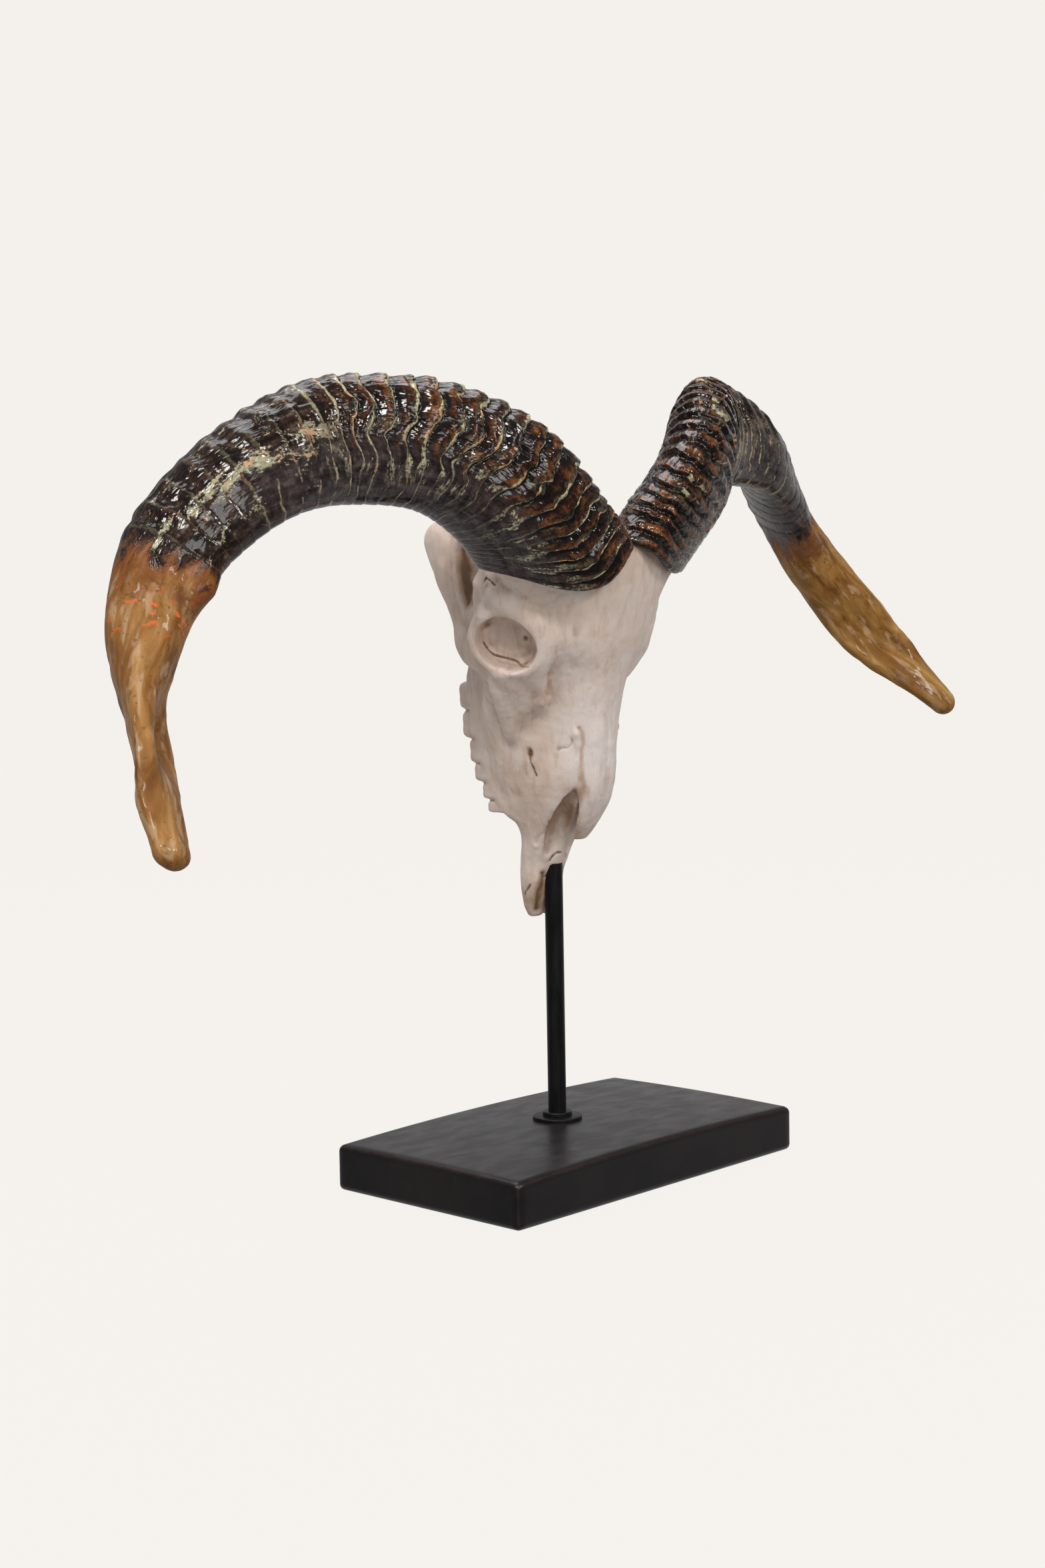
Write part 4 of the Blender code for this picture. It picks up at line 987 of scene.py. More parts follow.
def grid_normals(points):
    """Outward unit normals of a tube of points, given as rows of closed rings."""
    along = np.gradient(points, axis=0)
    around = np.roll(points, -1, axis=1) - np.roll(points, 1, axis=1)
    normals = np.cross(around, along)
    normals /= np.maximum(np.linalg.norm(normals, axis=-1, keepdims=True), 1e-12)
    outward = points - points.mean(axis=1, keepdims=True)
    return normals * np.sign((normals * outward).sum(axis=(1, 2)))[:, None, None]


def facing(angle, degrees, spread):
    """1 at this many degrees round the section, and less further round; `spread` is in degrees too."""
    return hump(turn_between(angle, math.radians(degrees)), 0.0, math.radians(spread))


def ring_count(along):
    """How many growth rings lie between the base edge and this distance along the horn."""
    places = np.linspace(0.0, 0.56, 300)
    density = 1.0 / np.interp(places, RING_SPACING_AT, RING_SPACING)
    counted = np.concatenate(((0.0,), np.cumsum((density[1:] + density[:-1]) / 2 * np.diff(places))))
    return np.interp(along, places, counted)


def ring_profile(within):
    """Height of one ring, 0 to 1: a rounded lip on its base side, then a slope that falls towards the tip."""
    return smoothstep(0.0, 0.17, within) * (1 - 0.75 * within ** 1.5 - 0.25 * smoothstep(0.7, 1.0, within))


def ring_numbers(share, angle, straight, along, ridged, worn, seed):
    """The number of the growth ring at each point; its fraction is the place within the ring."""
    inner = smoothstep(math.radians(5), math.radians(60), np.abs(turn_between(angle, math.radians(105))))
    tilt = RING_TILT * inner * (1 - ridged) * smoothstep(0.0, 0.10, share)
    tilt = tilt * (1 - smoothstep(0.25, 0.5, share))
    broad = lattice_noise(straight / (0.017, 0.017, 0.034), seed)
    narrow = lattice_noise(straight / (0.0060, 0.0060, 0.013), seed + 1)
    return ring_count(along + tilt) + (0.30 * broad + 0.17 * narrow) * (1 - 0.5 * worn)


def ring_depth(share, straight, ring, ridged, dark, worn, seed):
    """How far the rings, their ripples and knobs leave the surface below the rings' crests."""
    within = ring - np.floor(ring)
    rank = np.random.default_rng(seed).uniform(0.62, 1.15, 80)[np.floor(ring).astype(int) % 80]
    height = np.interp(share, RING_HEIGHT_AT, RING_HEIGHT) * rank
    height *= 1 + 0.30 * lattice_noise(straight / 0.024, seed + 12)
    wave = 0.5 + 0.5 * np.cos(2 * math.pi * (within - 0.2))
    shape = ring_profile(within) * (1 - worn) + wave * worn
    ripple = RIPPLE_HEIGHT * ridged * dark * (1 - worn) * (1 - np.cos(4 * math.pi * within))
    faint = FAINT_RING_HEIGHT * (1 - ridged) * dark * (1 - ring_profile(within))
    knobs = layered_noise(straight / (0.0050, 0.0050, 0.0085), seed + 3, 2)
    grain = lattice_noise(straight / (0.0026, 0.0026, 0.012), seed + 6)
    return (height * ridged * (1 - shape) + ripple + faint
            + KNOB_HEIGHT * ridged * dark * knobs + GRAIN_HEIGHT * dark * grain)


def horn_fields(share, angle, straight, along, seed):
    """How deep the horn's surface lies below its smooth form, and what its material reads."""
    face = np.abs(turn_between(angle, RINGED_FACE_AT))
    ridged = 1 - smoothstep(RINGED_FACE_HALF - RINGED_FACE_FADE, RINGED_FACE_HALF + RINGED_FACE_FADE, face)
    dark = 1 - smoothstep(HORN_TURNS_PALE - 0.03, HORN_TURNS_PALE + 0.03, share)
    worn = smoothstep(*RINGS_WEAR_DOWN, share)
    ring = ring_numbers(share, angle, straight, along, ridged, worn, seed)
    keel = facing(angle, KEEL_AT, 13) * smoothstep(0.34, 0.42, share) * (1 - smoothstep(0.57, 0.62, share))
    swelling = sum(rise * hump(share, at, reach) * facing(angle, degrees, spread)
                   for at, degrees, reach, spread, rise in HORN_SWELLINGS)
    dents = TIP_DENT_DEPTH * (1 - dark) * layered_noise(straight / (0.011, 0.011, 0.020), seed + 9, 3)
    lip = np.clip(1 - along / HORN_BASE_LIP, 0.0, 1.0)
    depth = (HORN_INSET + ring_depth(share, straight, ring, ridged, dark, worn, seed) - KEEL_HEIGHT * keel
             - swelling + dents + HORN_BASE_LIP * (1 - np.sqrt(1 - lip * lip)))

    face_edging = 0.30 + 0.60 * hump(share, 0.36, 0.14)
    crease = hump(share, 0.683, 0.012) * facing(angle, 40, 28.65)
    from_shade = np.abs(turn_between(angle, math.radians(60)))
    shaded = smoothstep(0.70, 0.95, share) * smoothstep(1.2, 2.4, from_shade)
    fields = {
        "ring": ring,
        "aligned": np.stack([straight[..., 0], straight[..., 1], ring * RING_PITCH], axis=-1),
        "ridged": ridged * dark,
        "edging": dark * smoothstep(0.0, 0.02, share) * (
            ridged * (1 - 0.90 * worn) + (1 - ridged) * face_edging),
        "khaki": (1 - worn) * (0.12 + 0.88 * facing(angle, 74, 17)),
        "share": share,
        "worn": worn,
        # where the grey of the worn outer edge is laid, which is partly painted sheen
        "outer": facing(angle, 185, 42) * worn,
        "keel": keel,
        "stroked": hump(share, 0.708, 0.040),
        "burnt": hump(share, 0.682, 0.030),
        "brown": np.clip(0.75 * crease + 0.40 * shaded, 0.0, 1.0),
        "pale_from": HORN_TURNS_PALE - 0.010 * facing(angle, 12, 38),
        "rim": 1 - smoothstep(0.0, 0.005, share),
    }
    return depth, fields


def round_tip(points, straight, table):
    """Adds the shrinking rows that round the tip off. Returns both grids and the very end of the tip."""
    centre = table[-1, :3]
    direction = centre - table[-4, :3]
    direction /= np.linalg.norm(direction)
    lifts = np.sin(np.linspace(0.0, math.pi / 2, HORN_TIP_ROWS + 1)[1:-1])[:, None, None]
    shrink = np.sqrt(1 - lifts * lifts)
    rows = centre + direction * HORN_TIP_ROUND * lifts + (points[-1] - centre) * shrink
    places = straight[-1] * (1, 1, 0) * shrink + straight[-1] * (0, 0, 1) + lifts * (0, 0, HORN_TIP_ROUND)
    end = centre + direction * HORN_TIP_ROUND
    return np.concatenate([points, rows]), np.concatenate([straight, places]), end


def tube_mesh(name, points, ends):
    """A closed mesh from rows of rings, with a fan of triangles round each of the two end points."""
    rows, sides = points.shape[:2]
    corner = np.arange(rows * sides).reshape(rows, sides)
    beside = np.roll(corner, -1, axis=1)
    quads = np.stack([corner[:-1], beside[:-1], beside[1:], corner[1:]], axis=-1).reshape(-1, 4)
    base_cap = np.stack([beside[0], corner[0], np.full(sides, rows * sides)], axis=-1)
    tip_cap = np.stack([corner[-1], beside[-1], np.full(sides, rows * sides + 1)], axis=-1)
    mesh = bpy.data.meshes.new(name)
    vertices = np.concatenate([points.reshape(-1, 3), ends])
    mesh.from_pydata(vertices.tolist(), [], quads.tolist() + base_cap.tolist() + tip_cap.tolist())
    bm = bmesh.new()
    bm.from_mesh(mesh)
    bmesh.ops.recalc_face_normals(bm, faces=bm.faces)
    bm.to_mesh(mesh)
    bm.free()
    return mesh


def make_horn(side):
    """One horn, from its lipped base edge over its rings to its rounded tip, as one closed mesh."""
    name = HORN_NAMES[side]
    distance, table = horn_table()
    length = distance[-1]
    shares = np.linspace(0.0, 1.0, HORN_ROWS)
    share, angle = np.meshgrid(shares, circle(HORN_SIDES), indexing="ij")
    where = share * length + (1 - share) ** 3 * base_shift(side, angle)
    smooth, straight = horn_points(distance, table, where, angle)
    depth, fields = horn_fields(share, angle, straight, share * length, HORN_SEEDS[side])
    points = smooth - grid_normals(smooth) * depth[..., None]
    points[..., 0] = np.minimum(points[..., 0], -GAP)
    base_centre = points[0].mean(axis=0)
    points, straight, tip_end = round_tip(points, straight, table)
    flip = (-side, 1, 1)
    mesh = tube_mesh(name, placed(points * flip), placed(np.array([base_centre, tip_end]) * flip))
    fields["straight"] = straight
    for field, values in fields.items():
        missing = len(points) - len(values)
        grid = np.concatenate([values, np.repeat(values[-1:], missing, axis=0)])
        ends = np.stack([values[0].mean(axis=0), values[-1].mean(axis=0)])
        store(mesh, field, np.concatenate([grid.reshape(-1, *values.shape[2:]), ends]))
    mesh.shade_smooth()
    horn = new_object(f"{name}_skin", mesh, horn_material(f"{name}_finish", HORN_FINISHES[side]))
    ride(horn, (f"{name}_base", f"{name}_arch", f"{name}_tip"))


# ---------------------------------------------------------------- skull forms
def add_ellipsoid(bm, centre, radii, sides=32):
    matrix = Matrix.Translation(centre) @ Matrix.Diagonal((*radii, 1.0))
    bmesh.ops.create_uvsphere(bm, u_segments=sides, v_segments=sides // 2, radius=1.0, matrix=matrix)


def add_limb(bm, points, radii, sides=18):
    """A tapering round limb through the points, such as a bony arch or process."""
    points = np.asarray(points, float)
    count = 6 * len(points)
    centres = smooth_curve(points, count)
    sizes = smooth_curve(radii, count)
    tangents = np.gradient(centres, axis=0)
    tangents /= np.linalg.norm(tangents, axis=1)[:, None]
    across = np.array((0.31, 0.45, 0.84))
    rings = []
    for centre, tangent, size in zip(centres, tangents, sizes):
        across = across - tangent * across.dot(tangent)
        across /= np.linalg.norm(across)
        up = np.cross(tangent, across)
        rings.append([centre + size * (math.cos(a) * across + math.sin(a) * up) for a in circle(sides)])
    lofted(bm, rings)
    for centre, size in ((centres[0], sizes[0]), (centres[-1], sizes[-1])):
        add_ellipsoid(bm, centre, (size, size, size), sides=16)


def mirrored(point, side):
    """A point given on the left (+X) side, moved to the side asked for."""
    return Vector((side * point[0], point[1], point[2]))


def add_side_forms(bm):
    """The braincase's, brows' and cheeks' forms that the skull has on both sides."""
    for side in (-1, 1):
        for path, radii in SIDE_LIMBS.values():
            add_limb(bm, [mirrored(point, side) for point in path], radii)
        for centre, radii in SIDE_MASSES.values():
            add_ellipsoid(bm, mirrored(centre, side), radii)


def orbit_matrix(side):
    """Stands a ring in the orbit's plane: its axis looks out of the socket."""
    facing_out = Vector((side * math.cos(ORBIT_FACING), -math.sin(ORBIT_FACING), math.sin(ORBIT_RISE)))
    facing_out.normalize()
    upward = Vector((0, 0, 1)) - facing_out * facing_out.z
    upward.normalize()
    sideways = upward.cross(facing_out)
    stand = Matrix((sideways, upward, facing_out)).transposed().to_4x4()
    oval_turn = Matrix.Rotation(side * ORBIT_OVAL_TURN, 4, "Z")
    return Matrix.Translation(mirrored(ORBIT_CENTRE, side)) @ stand @ oval_turn


def orbit_oval(matrix, radius, drop, count):
    """An oval ring round the socket's axis, `drop` behind its rim."""
    return [matrix @ Vector((radius * math.cos(a), radius * ORBIT_HEIGHT_RATIO * math.sin(a), -drop))
            for a in circle(count)]


def add_orbit_ring(bm, side):
    """The raised rim of the eye socket and the tube of bone behind it."""
    matrix = orbit_matrix(side)
    tube_radius = ORBIT_RING_RADIUS + ORBIT_RING_THICKNESS * 0.6
    lofted(bm, [orbit_oval(matrix, tube_radius + flare, drop, 48) for drop, flare in ORBIT_TUBE])
    rows = []
    for a in circle(48):
        out = Vector((math.cos(a), math.sin(a) * ORBIT_HEIGHT_RATIO, 0.0))
        across = out.normalized()
        row = []
        for b in circle(14):
            offset = across * math.cos(b) + Vector((0, 0, math.sin(b)))
            row.append(bm.verts.new(matrix @ (out * ORBIT_RING_RADIUS + ORBIT_RING_THICKNESS * offset)))
        rows.append(row)
    for row, following in zip(rows, rows[1:] + rows[:1]):
        for j in range(len(row)):
            k = (j + 1) % len(row)
            bm.faces.new((row[j], row[k], following[k], following[j]))


def add_body(bm):
    """The long body of the skull, lofted from the poll down to the end of the premaxillae."""
    rings = []
    for z, front, widest, back, half_width in smooth_curve(SKULL_STATIONS, 90):
        ring = []
        front_power = float(np.interp(-z, (0.12, 0.16), (SKULL_FRONT_POWER, MUZZLE_FRONT_POWER)))
        for a in circle(56):
            c, s = math.cos(a), math.sin(a)
            power = front_power if s < 0 else SKULL_BACK_POWER
            reach = widest - front if s < 0 else back - widest
            ring.append((half_width * rounded(c, power), widest + reach * rounded(s, power), z))
        rings.append(ring)
    lofted(bm, rings)


def add_braincase(bm):
    for centre, radii in MIDDLE_MASSES:
        add_ellipsoid(bm, centre, radii)
    add_limb(bm, *SKULL_BASE)


def tooth_line(place):
    """Middle, crowns' end, height and half width of the tooth row, from its top (0) to its end (1)."""
    x, crown, width = (top - less * place ** power for top, less, power in TOOTH_ROW)
    return x, crown, TOOTH_ROW_TOP + (TOOTH_ROW_END - TOOTH_ROW_TOP) * place, width


def rounded(value, power=4.0):
    """Turns a circle's cosine or sine into that of a square with round corners."""
    return math.copysign(abs(value) ** (2 / power), value)


def pillow_ring(centre, half_x, half_y):
    """One level section of a square with round corners."""
    x, y, z = centre
    return [
        Vector((x + half_x * rounded(math.cos(a)), y + half_y * rounded(math.sin(a)), z))
        for a in circle(28)
    ]


def add_gums(bm):
    """The wall of bone that the teeth stand in, which carries the flat of the cheek back to them."""
    first, last = GUM_STRETCH
    for side in (-1, 1):
        rings = []
        for place in np.linspace(first, last, 18):
            x, crown, z, width = tooth_line(max(place, 0.0))
            z += (TOOTH_ROW_END - TOOTH_ROW_TOP) * min(place, 0.0)
            front = GUM_FRONT[0] + (GUM_FRONT[1] - GUM_FRONT[0]) * place
            fallen = max(0.0, place / first, (place - GUM_FALL_FROM) / (last - GUM_FALL_FROM))
            back = crown - GUM_BELOW_CROWNS - GUM_FALL * fallen ** 2
            centre = mirrored((x - GUM_INWARD, (front + back) / 2, z), side)
            rings.append(pillow_ring(centre, width + GUM_WIDER, (back - front) / 2))
        lofted(bm, rings)


def add_tooth_lobe(bm, centre, width, height):
    rings = []
    for t in np.linspace(-0.98, 0.98, 9):
        fullness = (1 - abs(t) ** 3) ** (1 / 3)
        level = centre + Vector((0, 0, t * height * 0.33))
        rings.append(pillow_ring(level, width * fullness, TOOTH_DEPTH / 2 * (0.7 + 0.3 * fullness)))
    lofted(bm, rings)


def add_teeth(bm):
    """Six cheek teeth a side, each of two lobes: three large molars above, three small premolars below."""
    shares = np.array(TOOTH_SHARES)
    edges = np.concatenate(((0.0,), np.cumsum(shares) / shares.sum()))
    for side in (-1, 1):
        for number, (upper, lower) in enumerate(zip(edges, edges[1:])):
            x, crown, z, width = tooth_line((upper + lower) / 2)
            height = (lower - upper) * (TOOTH_ROW_TOP - TOOTH_ROW_END) - TOOTH_GAP
            y = crown - TOOTH_DEPTH / 2 - 0.0006 * (-1) ** number
            for half in (-0.20, 0.20):
                add_tooth_lobe(bm, mirrored((x, y, z + half * height), side), width, height)


def add_nasals(bm):
    """The two nasal bones, whose pointed ends overhang the nose."""
    for side in (-1, 1):
        rings = []
        for z in np.linspace(NASAL_TOP, NASAL_TIP, 30):
            half = float(np.interp(-z, NASAL_EDGE_AT, NASAL_EDGE)) / 2
            thick = float(np.interp(-z, NASAL_EDGE_AT, NASAL_THICKNESS))
            front = float(np.interp(-z, NASAL_FRONT_AT, NASAL_FRONT))
            middle = side * half * NASAL_MIDDLE
            rings.append([
                (middle + half * NASAL_OVERLAP * math.cos(a),
                 front + thick * (1 + math.sin(a)) + NASAL_SLOPE * abs(middle + half * math.cos(a)),
                 z)
                for a in circle(24)
            ])
        lofted(bm, rings)


def add_horn_bosses(bm):
    """The bony cores that the horns sit on, which flare out towards the horns' base edges."""
    distance, table = horn_table()
    for side in (-1, 1):
        rings = []
        for where, size in np.linspace(BOSS_START, BOSS_END, 8):
            ring, _ = horn_points(distance, table, np.full(32, where), circle(32))
            middle = ring.mean(axis=0)
            ring = middle + (ring - middle) * size
            rings.append([(-side * x, y, z) for x, y, z in ring])
        lofted(bm, rings)


def orbit_cutter(side):
    """The shallow bowl of the eye socket."""
    inner = ORBIT_RING_RADIUS - ORBIT_RING_THICKNESS * 0.72
    bm = bmesh.new()
    lofted(bm, [orbit_oval(orbit_matrix(side), inner * share, drop, 40) for drop, share in ORBIT_BOWL])
    return new_object("cutter", mesh_from(bm, "cutter"))


def middle_cutter(centre, radii):
    """One of the hollows on the middle line."""
    bm = bmesh.new()
    add_ellipsoid(bm, centre, radii)
    return new_object("cutter", mesh_from(bm, "cutter"))


def recess_cutter(side):
    """The long hollow between the nasal bone and the edge of the upper jaw, fused to one closed surface."""
    bm = bmesh.new()
    add_limb(bm, [mirrored(point, side) for point in RECESS_PATH], RECESS_RADII)
    cutter = new_object("cutter", mesh_from(bm, "cutter"))
    soften(cutter, FINE_VOXEL, CUTTER_SMOOTHING)
    return baked(cutter)


def skull_form():
    """The whole skull as one closed, softened surface, upright."""
    bm = bmesh.new()
    add_body(bm)
    add_braincase(bm)
    add_side_forms(bm)
    add_gums(bm)
    add_horn_bosses(bm)
    for side in (-1, 1):
        add_orbit_ring(bm, side)
    form = new_object("skull_form", mesh_from(bm, "skull_form"))
    soften(form, ROUGH_VOXEL, ROUGH_SMOOTHING)
    baked(form)
    cutters = [orbit_cutter(-1), orbit_cutter(1)]
    cutters += [middle_cutter(centre, radii) for centre, radii in MIDDLE_HOLLOWS]
    cutters += [recess_cutter(-1), recess_cutter(1)]
    for cutter in cutters:
        boolean_cut(form, cutter)
    baked(form)
    for cutter in cutters:
        remove(cutter)
    bm = bmesh.new()
    bm.from_mesh(form.data)
    add_nasals(bm)
    add_teeth(bm)
    add_limb(bm, NOSE_FLOOR_PATH, NOSE_FLOOR_RADII)
    form.data = mesh_from(bm, "skull_form")
    soften(form, FINE_VOXEL, FINE_SMOOTHING)
    mesh = evaluated_mesh(form, "skull_skin")
    remove(form)
    return mesh


# ---------------------------------------------------------------- skull details
# Paths and places are given on the left (+X) side.
GROOVES = (
    # path, half width, depth (less than nothing for a ridge), brown wash
    (((0.0210, -0.0250, -0.1040), (0.0190, -0.0250, -0.1140), (0.0180, -0.0230, -0.1250),
      (0.0170, -0.0210, -0.1360), (0.0160, -0.0210, -0.1420)), 0.0026, 0.0005, 0.55),
    (((0.0504, 0.0404, 0.0120), (0.0526, 0.0385, 0.0037), (0.0540, 0.0362, -0.0053),
      (0.0547, 0.0340, -0.0130), (0.0557, 0.0320, -0.0200)), 0.0058, 0.0040, 1.10),
    (((0.0524, 0.0571, 0.0019), (0.0555, 0.0502, -0.0193), (0.0579, 0.0426, -0.0362)),
     0.0032, -0.0014, 0.0),
    (((0.0600, 0.0200, -0.0040), (0.0722, 0.0103, -0.0126), (0.0741, 0.0047, -0.0200),
      (0.0780, 0.0040, -0.0280)), 0.0026, -0.0014, 0.0),
    (((0.0600, 0.0100, -0.0060), (0.0680, 0.0000, -0.0130), (0.0700, -0.0080, -0.0200)),
     0.0022, 0.0006, 0.35),
    (((0.0640, 0.0020, -0.0650), (0.0460, 0.0080, -0.0730), (0.0395, 0.0060, -0.0850)),
     0.0034, -0.0014, 0.0),
    (((0.0560, 0.0150, -0.0680), (0.0450, 0.0190, -0.0780)), 0.0028, 0.0008, 0.15),
    (((0.0280, -0.0115, -0.1170), (0.0255, -0.0170, -0.1160), (0.0244, -0.0200, -0.1110)),
     0.0014, 0.0006, 0.30),
    (((0.0200, 0.0050, -0.1660), (0.0195, 0.0130, -0.1740), (0.0190, 0.0190, -0.1800)),
     0.0012, 0.0005, 0.25),
    (((0.0110, 0.0215, -0.2020), (0.0100, 0.0266, -0.2176), (0.0099, 0.0281, -0.2266)),
     0.0032, 0.0018, 1.10),
)
CRACKS = (
    ((0.0640, 0.0140, -0.0460), (0.0590, 0.0110, -0.0540), (0.0560, 0.0060, -0.0560),
     (0.0530, -0.0030, -0.0590), (0.0600, -0.0160, -0.0610)),
    ((0.0330, 0.0080, -0.1210), (0.0330, 0.0056, -0.1280), (0.0320, 0.0040, -0.1340)),
    ((0.0160, 0.0280, -0.2090), (0.0160, 0.0340, -0.2170)),
    ((0.0700, 0.0040, -0.0052), (0.0722, -0.0010, -0.0072), (0.0742, -0.0060, -0.0100)),
    ((0.0086, 0.0167, -0.1941), (0.0075, 0.0145, -0.1906), (0.0059, 0.0124, -0.1890),
     (0.0030, 0.0108, -0.1893)),
    ((0.0030, 0.0170, -0.1985), (0.0050, 0.0193, -0.2016), (0.0086, 0.0220, -0.2040)),
)
CRACK_DEPTH = 0.0006
CRACK_HALF_WIDTH = 0.0009
PITS = (
    # centre, radii across and along the skull, depth (less than nothing for a knob), brown wash
    ((0.0367, -0.0376, -0.0414), 0.0042, 0.0066, 0.0009, 0.34),
    ((0.0497, -0.0076, -0.0448), 0.0016, 0.0016, 0.0008, 0.60),
    ((0.0210, -0.0370, -0.0810), 0.0012, 0.0012, 0.0011, 0.60),
    ((0.0220, -0.0375, -0.0765), 0.0010, 0.0010, 0.0009, 0.60),
    ((0.0694, 0.0040, -0.0075), 0.0016, 0.0020, 0.0010, 1.00),
    ((0.0692, 0.0007, -0.0109), 0.0010, 0.0010, 0.0008, 0.90),
    ((0.0330, 0.0070, -0.1190), 0.0022, 0.0036, 0.0024, 1.10),
    ((0.0226, -0.0230, -0.1080), 0.0024, 0.0030, -0.0012, 0.0),
    ((0.0200, 0.0190, -0.1830), 0.0020, 0.0020, -0.0009, 0.0),
    ((0.0400, -0.0100, -0.0790), 0.0060, 0.0085, 0.0014, 0.15),
)
STAINS_AND_SHADE = (
    # centre, radius, brown wash; the fifth and sixth also lay painted shade along the temple hollow; the last
    # one is on the middle line, where both sides lay it on
    ((0.0380, -0.0110, -0.0810), 0.0085, 0.35),
    ((0.0320, 0.0050, -0.1280), 0.0070, 0.45),
    ((0.0310, 0.0230, -0.1440), 0.0070, 0.45),
    ((0.0340, 0.0140, -0.1320), 0.0050, 0.35),
    # These two lay painted shade along the temple hollow, which the form is too shallow to cast, as well as
    # brown wash.
    ((0.0530, 0.0370, 0.0020), 0.0085, 0.70),
    ((0.0545, 0.0330, -0.0120), 0.0070, 0.70),
    ((0.0730, -0.0050, -0.0090), 0.0050, 0.30),
    ((0.0170, -0.0190, -0.1460), 0.0060, 0.90),
    ((0.0150, -0.0060, -0.1600), 0.0100, 0.60),
    ((0.0110, 0.0030, -0.1720), 0.0100, 0.45),
    ((0.0560, -0.0040, -0.0500), 0.0170, 0.25),
    ((0.0, 0.0260, -0.2180), 0.0100, 0.45),
)
# The lines of grooves, cracks and stains wander by this reach, over hills and hollows of this size.
WANDER_SIZE = 0.0060
WANDER_REACH = 0.0011
WANDER_SEED = 21
UNEVEN_SIZE = 0.012
UNEVEN_HEIGHT = 0.00040
UNEVEN_SEED = 31
# The brown wash along the horns' base edges, and the wash that gathers in hollows: the rounds of smoothing
# that find a hollow, the depth that counts as 1, the most that counts, and the strength.
HORN_BASE_WASH = 0.75
HORN_BASE_WASH_HALF_WIDTH = 0.0042
HOLLOW_WASH = ((24, 0.0011, 1.6, 0.55), (5, 0.00022, 1.0, 0.30))
FAR_FROM_CRACK = 0.009
PUTTY_CENTRE = (0.0, 0.0125, -0.1940)
PUTTY_RADIUS = 0.0078
PUTTY_STRENGTH = 0.8
# The cooler bone of the muzzle's front: its height, its reach, and where it comes on from back to front.
COOL_HEIGHT = -0.125
COOL_REACH = 0.055
COOL_FRONT = (-0.005, -0.022)
COOL_STRENGTH = 0.8
# The left brow stands a little prouder than the right one.
LEFT_BROW_CENTRE = (0.0400, -0.0400, -0.0280)
LEFT_BROW_REACH = 0.0180
LEFT_BROW_RISE = 0.0045


def flattened(offset, normals):
    """The offsets with most of their part along the surface normal taken out, so that depth hardly counts."""
    depth = (offset * normals).sum(axis=1, keepdims=True)
    return offset - 0.75 * depth * normals


def path_distance(points, normals, path):
    """Distance over the surface from each point to a line through the path's points."""
    nearest = np.full(len(points), np.inf)
    for start, end in zip(path, path[1:]):
        way = end - start
        t = np.clip((points - start) @ way / way.dot(way), 0.0, 1.0)
        offset = flattened(points - start - t[:, None] * way, normals)
        nearest = np.minimum(nearest, np.linalg.norm(offset, axis=1))
    return nearest


def path_shape(points, normals, path, half_width):
    """1 on the path, and less to either side of it."""
    return np.exp(-(path_distance(points, normals, path) / half_width) ** 2)


def pit_shape(points, normals, centre, across, along):
    """1 at the centre, and less round it."""
    off = flattened(points - centre, normals) / (across, across, along)
    return np.exp(-(off * off).sum(axis=1))


def wandering(points):
    """The points, shifted by smooth noise, so that what is measured from them wanders."""
    shift = [lattice_noise(points / WANDER_SIZE, WANDER_SEED + k) for k in range(3)]
    return points + WANDER_REACH * np.stack(shift, axis=1)


def cavity(mesh, points, normals, rounds):
    """How far each vertex lies in a hollow, in metres, against the surface round it."""
    edges = np.empty(len(mesh.edges) * 2, np.int32)
    mesh.edges.foreach_get("vertices", edges)
    first, second = edges.reshape(-1, 2).T
    count = len(points)
    degree = np.bincount(first, minlength=count) + np.bincount(second, minlength=count)
    smooth = points.copy()
    for _ in range(rounds):
        summed = np.stack([
            np.bincount(first, smooth[second, k], count) + np.bincount(second, smooth[first, k], count)
            for k in range(3)
        ], axis=1)
        smooth = 0.4 * smooth + 0.6 * summed / degree[:, None]
    return ((smooth - points) * normals).sum(axis=1)


def horn_base_line(side):
    """The line that a horn's base edge follows round the skull."""
    distance, table = horn_table()
    angles = np.linspace(0.0, 2 * math.pi, 49)
    line, _ = horn_points(distance, table, base_shift(side, angles), angles)
    return line * (-side, 1, 1)


def side_details(points, wander, normals, side):
    """One side's details: how far they sink the surface, its brown wash with some painted shade, and the
    distance to a crack.
    """
    flip = np.array((side, 1, 1))
    sunk = np.zeros(len(points))
    base_line = horn_base_line(side)
    wash_and_shade = HORN_BASE_WASH * path_shape(wander, normals, base_line, HORN_BASE_WASH_HALF_WIDTH)
    crack = np.full(len(points), FAR_FROM_CRACK)
    for path, half_width, depth, stain in GROOVES:
        shape = path_shape(wander, normals, np.array(path) * flip, half_width)
        sunk += depth * shape
        wash_and_shade += stain * shape
    for path in CRACKS:
        away = path_distance(wander, normals, np.array(path) * flip)
        sunk += CRACK_DEPTH * np.exp(-(away / CRACK_HALF_WIDTH) ** 2)
        crack = np.minimum(crack, away)
    for centre, across, along, depth, stain in PITS:
        shape = pit_shape(points, normals, np.array(centre) * flip, across, along)
        sunk += depth * shape
        wash_and_shade += stain * shape
    for centre, radius, strength in STAINS_AND_SHADE:
        wash_and_shade += strength * pit_shape(wander, normals, np.array(centre) * flip, radius, radius)
    return sunk, wash_and_shade, crack


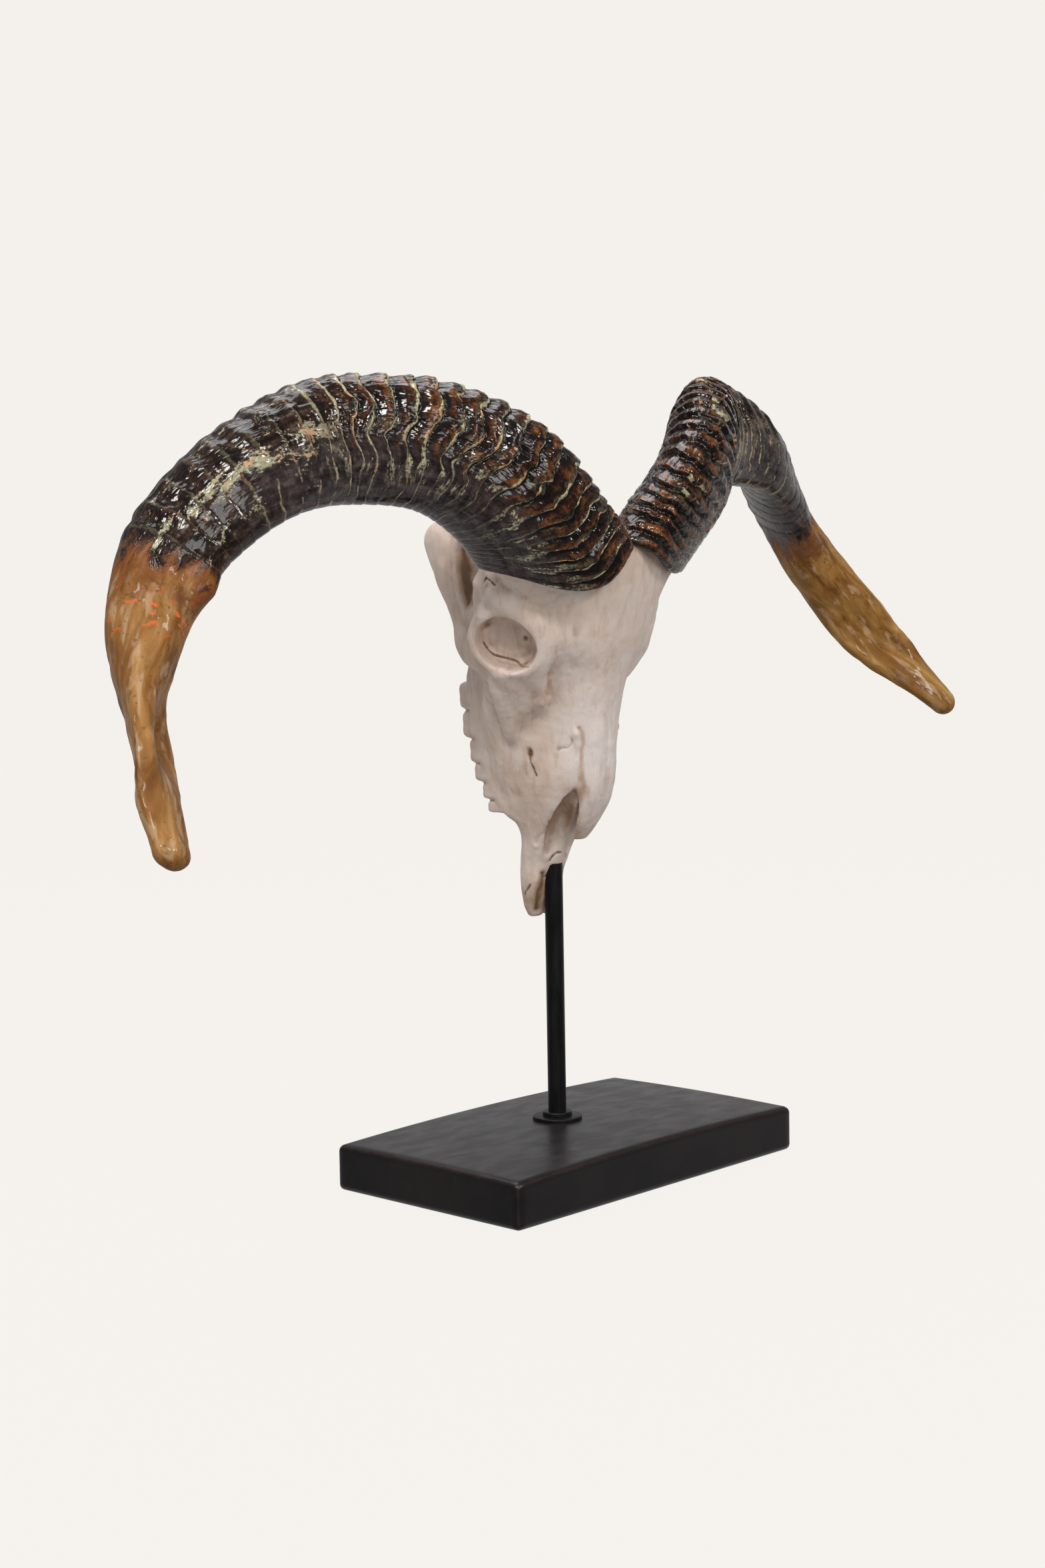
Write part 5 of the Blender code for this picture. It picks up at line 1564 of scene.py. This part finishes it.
def detail_skull(mesh):
    """Grooves, ridges, pits, cracks and uneven surface, with the fields that the bone material reads."""
    points = vertex_array(mesh)
    normals = normal_array(mesh)
    wander = wandering(points)
    right_sunk, right_wash_and_shade, right_crack = side_details(points, wander, normals, -1)
    left_sunk, left_wash_and_shade, left_crack = side_details(points, wander, normals, 1)
    putty = pit_shape(wander, normals, PUTTY_CENTRE, PUTTY_RADIUS, PUTTY_RADIUS)
    brow = pit_shape(points, normals, LEFT_BROW_CENTRE, LEFT_BROW_REACH, LEFT_BROW_REACH)
    uneven = UNEVEN_HEIGHT * layered_noise(points / UNEVEN_SIZE, UNEVEN_SEED, 3)
    sunk = uneven + right_sunk + left_sunk - LEFT_BROW_RISE * brow
    points = points - normals * sunk[:, None]
    set_vertices(mesh, points)
    normals = normal_array(mesh)
    wash_and_shade = right_wash_and_shade + left_wash_and_shade
    for rounds, depth, most, strength in HOLLOW_WASH:
        wash_and_shade += np.clip(cavity(mesh, points, normals, rounds) / depth, 0.0, most) * strength
    cool = hump(points[:, 2], COOL_HEIGHT, COOL_REACH) * smoothstep(*COOL_FRONT, points[:, 1])
    store(mesh, "wash_and_shade", wash_and_shade * (1 - 0.7 * putty))
    store(mesh, "crack_mm", np.minimum(right_crack, left_crack) * 1000)
    store(mesh, "cool", COOL_STRENGTH * cool)
    store(mesh, "putty", PUTTY_STRENGTH * putty)
    set_vertices(mesh, placed(points))


def make_skull(finish):
    mesh = skull_form()
    detail_skull(mesh)
    mesh.shade_smooth()
    skull = new_object("skull_skin", mesh, finish)
    ride(skull, ("skull_cranium", "skull_face", "skull_muzzle", "skull_nasals"))


# ---------------------------------------------------------------- studio
def make_camera():
    """The camera of the photograph, worked out from the block's edges and the skull."""
    up = Vector((0, 0, 1))
    toward = Vector((math.sin(CAMERA_AZIMUTH), math.cos(CAMERA_AZIMUTH), 0.0))
    forward = math.cos(CAMERA_PITCH) * toward - math.sin(CAMERA_PITCH) * up
    level = forward.cross(up).normalized()
    above = level.cross(forward)
    right = math.cos(CAMERA_ROLL) * level + math.sin(CAMERA_ROLL) * above
    top = math.cos(CAMERA_ROLL) * above - math.sin(CAMERA_ROLL) * level
    place = -CAMERA_DISTANCE * toward + CAMERA_SIDE * toward.cross(up) + CAMERA_HEIGHT * up
    camera = new_object("camera", bpy.data.cameras.new("camera"))
    turn = Matrix((right, top, -forward)).transposed().to_4x4()
    camera.matrix_world = Matrix.Translation(place) @ turn
    camera.data.lens = CAMERA_LENS
    camera.data.clip_start = 0.01
    bpy.context.scene.camera = camera


def make_world():
    """A pale backdrop as seen; the object is lit by a dim room with a pale table and a pale far wall."""
    world = bpy.data.worlds.new("studio")
    world.use_nodes = True
    world.node_tree.nodes.clear()
    bpy.context.scene.world = world
    n = NodeTree(world.node_tree)
    seen = n.node("ShaderNodeBackground", "Background", {"Color": BACKDROP})
    direction = n.node("ShaderNodeTexCoord", "Generated", {})
    towards = {0: direction, 1: WALL_DIRECTION}
    behind = n.node("ShaderNodeVectorMath", "Value", towards, operation="DOT_PRODUCT")
    mirrored_ray = n.node("ShaderNodeLightPath", "Is Glossy Ray", {})
    room = {"Value": mirrored_ray, "To Min": ROOM_LIGHT, "To Max": ROOM_MIRRORED}
    glow = n.band(behind, 0.10, 0.90, n.node("ShaderNodeMapRange", "Result", room), WALL_LIGHT)
    lighting = n.node("ShaderNodeBackground", "Background", {"Color": ROOM_COLOUR, "Strength": glow})
    seen_ray = n.node("ShaderNodeLightPath", "Is Camera Ray", {})
    mixed = n.node("ShaderNodeMixShader", "Shader", {"Fac": seen_ray, 1: lighting, 2: seen})
    output = world.node_tree.nodes.new("ShaderNodeOutputWorld")
    n.feed(output.inputs["Surface"], mixed)


def make_floor():
    """A wide pale floor in the backdrop's colour, which takes only a faint shadow."""
    bm = bmesh.new()
    bmesh.ops.create_grid(bm, x_segments=1, y_segments=1, size=FLOOR_HALF_WIDTH)
    p = Painter("floor")
    finish = p.finish(
        base_color=FLOOR_COLOUR,
        roughness=0.9,
        emission_color=BACKDROP,
        emission_strength=FLOOR_GLOW,
    )
    p.shader.inputs["Specular IOR Level"].default_value = 0.0
    floor = new_object("floor", mesh_from(bm, "floor"), finish)
    floor.visible_diffuse = False
    floor.visible_glossy = False


def make_lights():
    """Soft rectangular lights, all aimed at the middle of the object."""
    for name, (place, size, power, colour) in LIGHTS.items():
        light = bpy.data.lights.new(name, "AREA")
        light.shape = "RECTANGLE"
        light.size, light.size_y = size
        light.energy = power
        light.color = colour
        lamp = new_object(name, light)
        lamp.location = place
        lamp.rotation_euler = (Vector(LIGHT_TARGET) - Vector(place)).to_track_quat("-Z", "Y").to_euler()


def main():
    make_camera()
    make_world()
    make_floor()
    make_lights()
    make_stand(block_material("black_block_finish"), metal_material("black_metal_finish"))
    for side in (-1, 1):
        make_horn(side)
    make_skull(bone_material("resin_bone_finish"))
    bpy.context.scene.view_settings.view_transform = "Standard"


main()
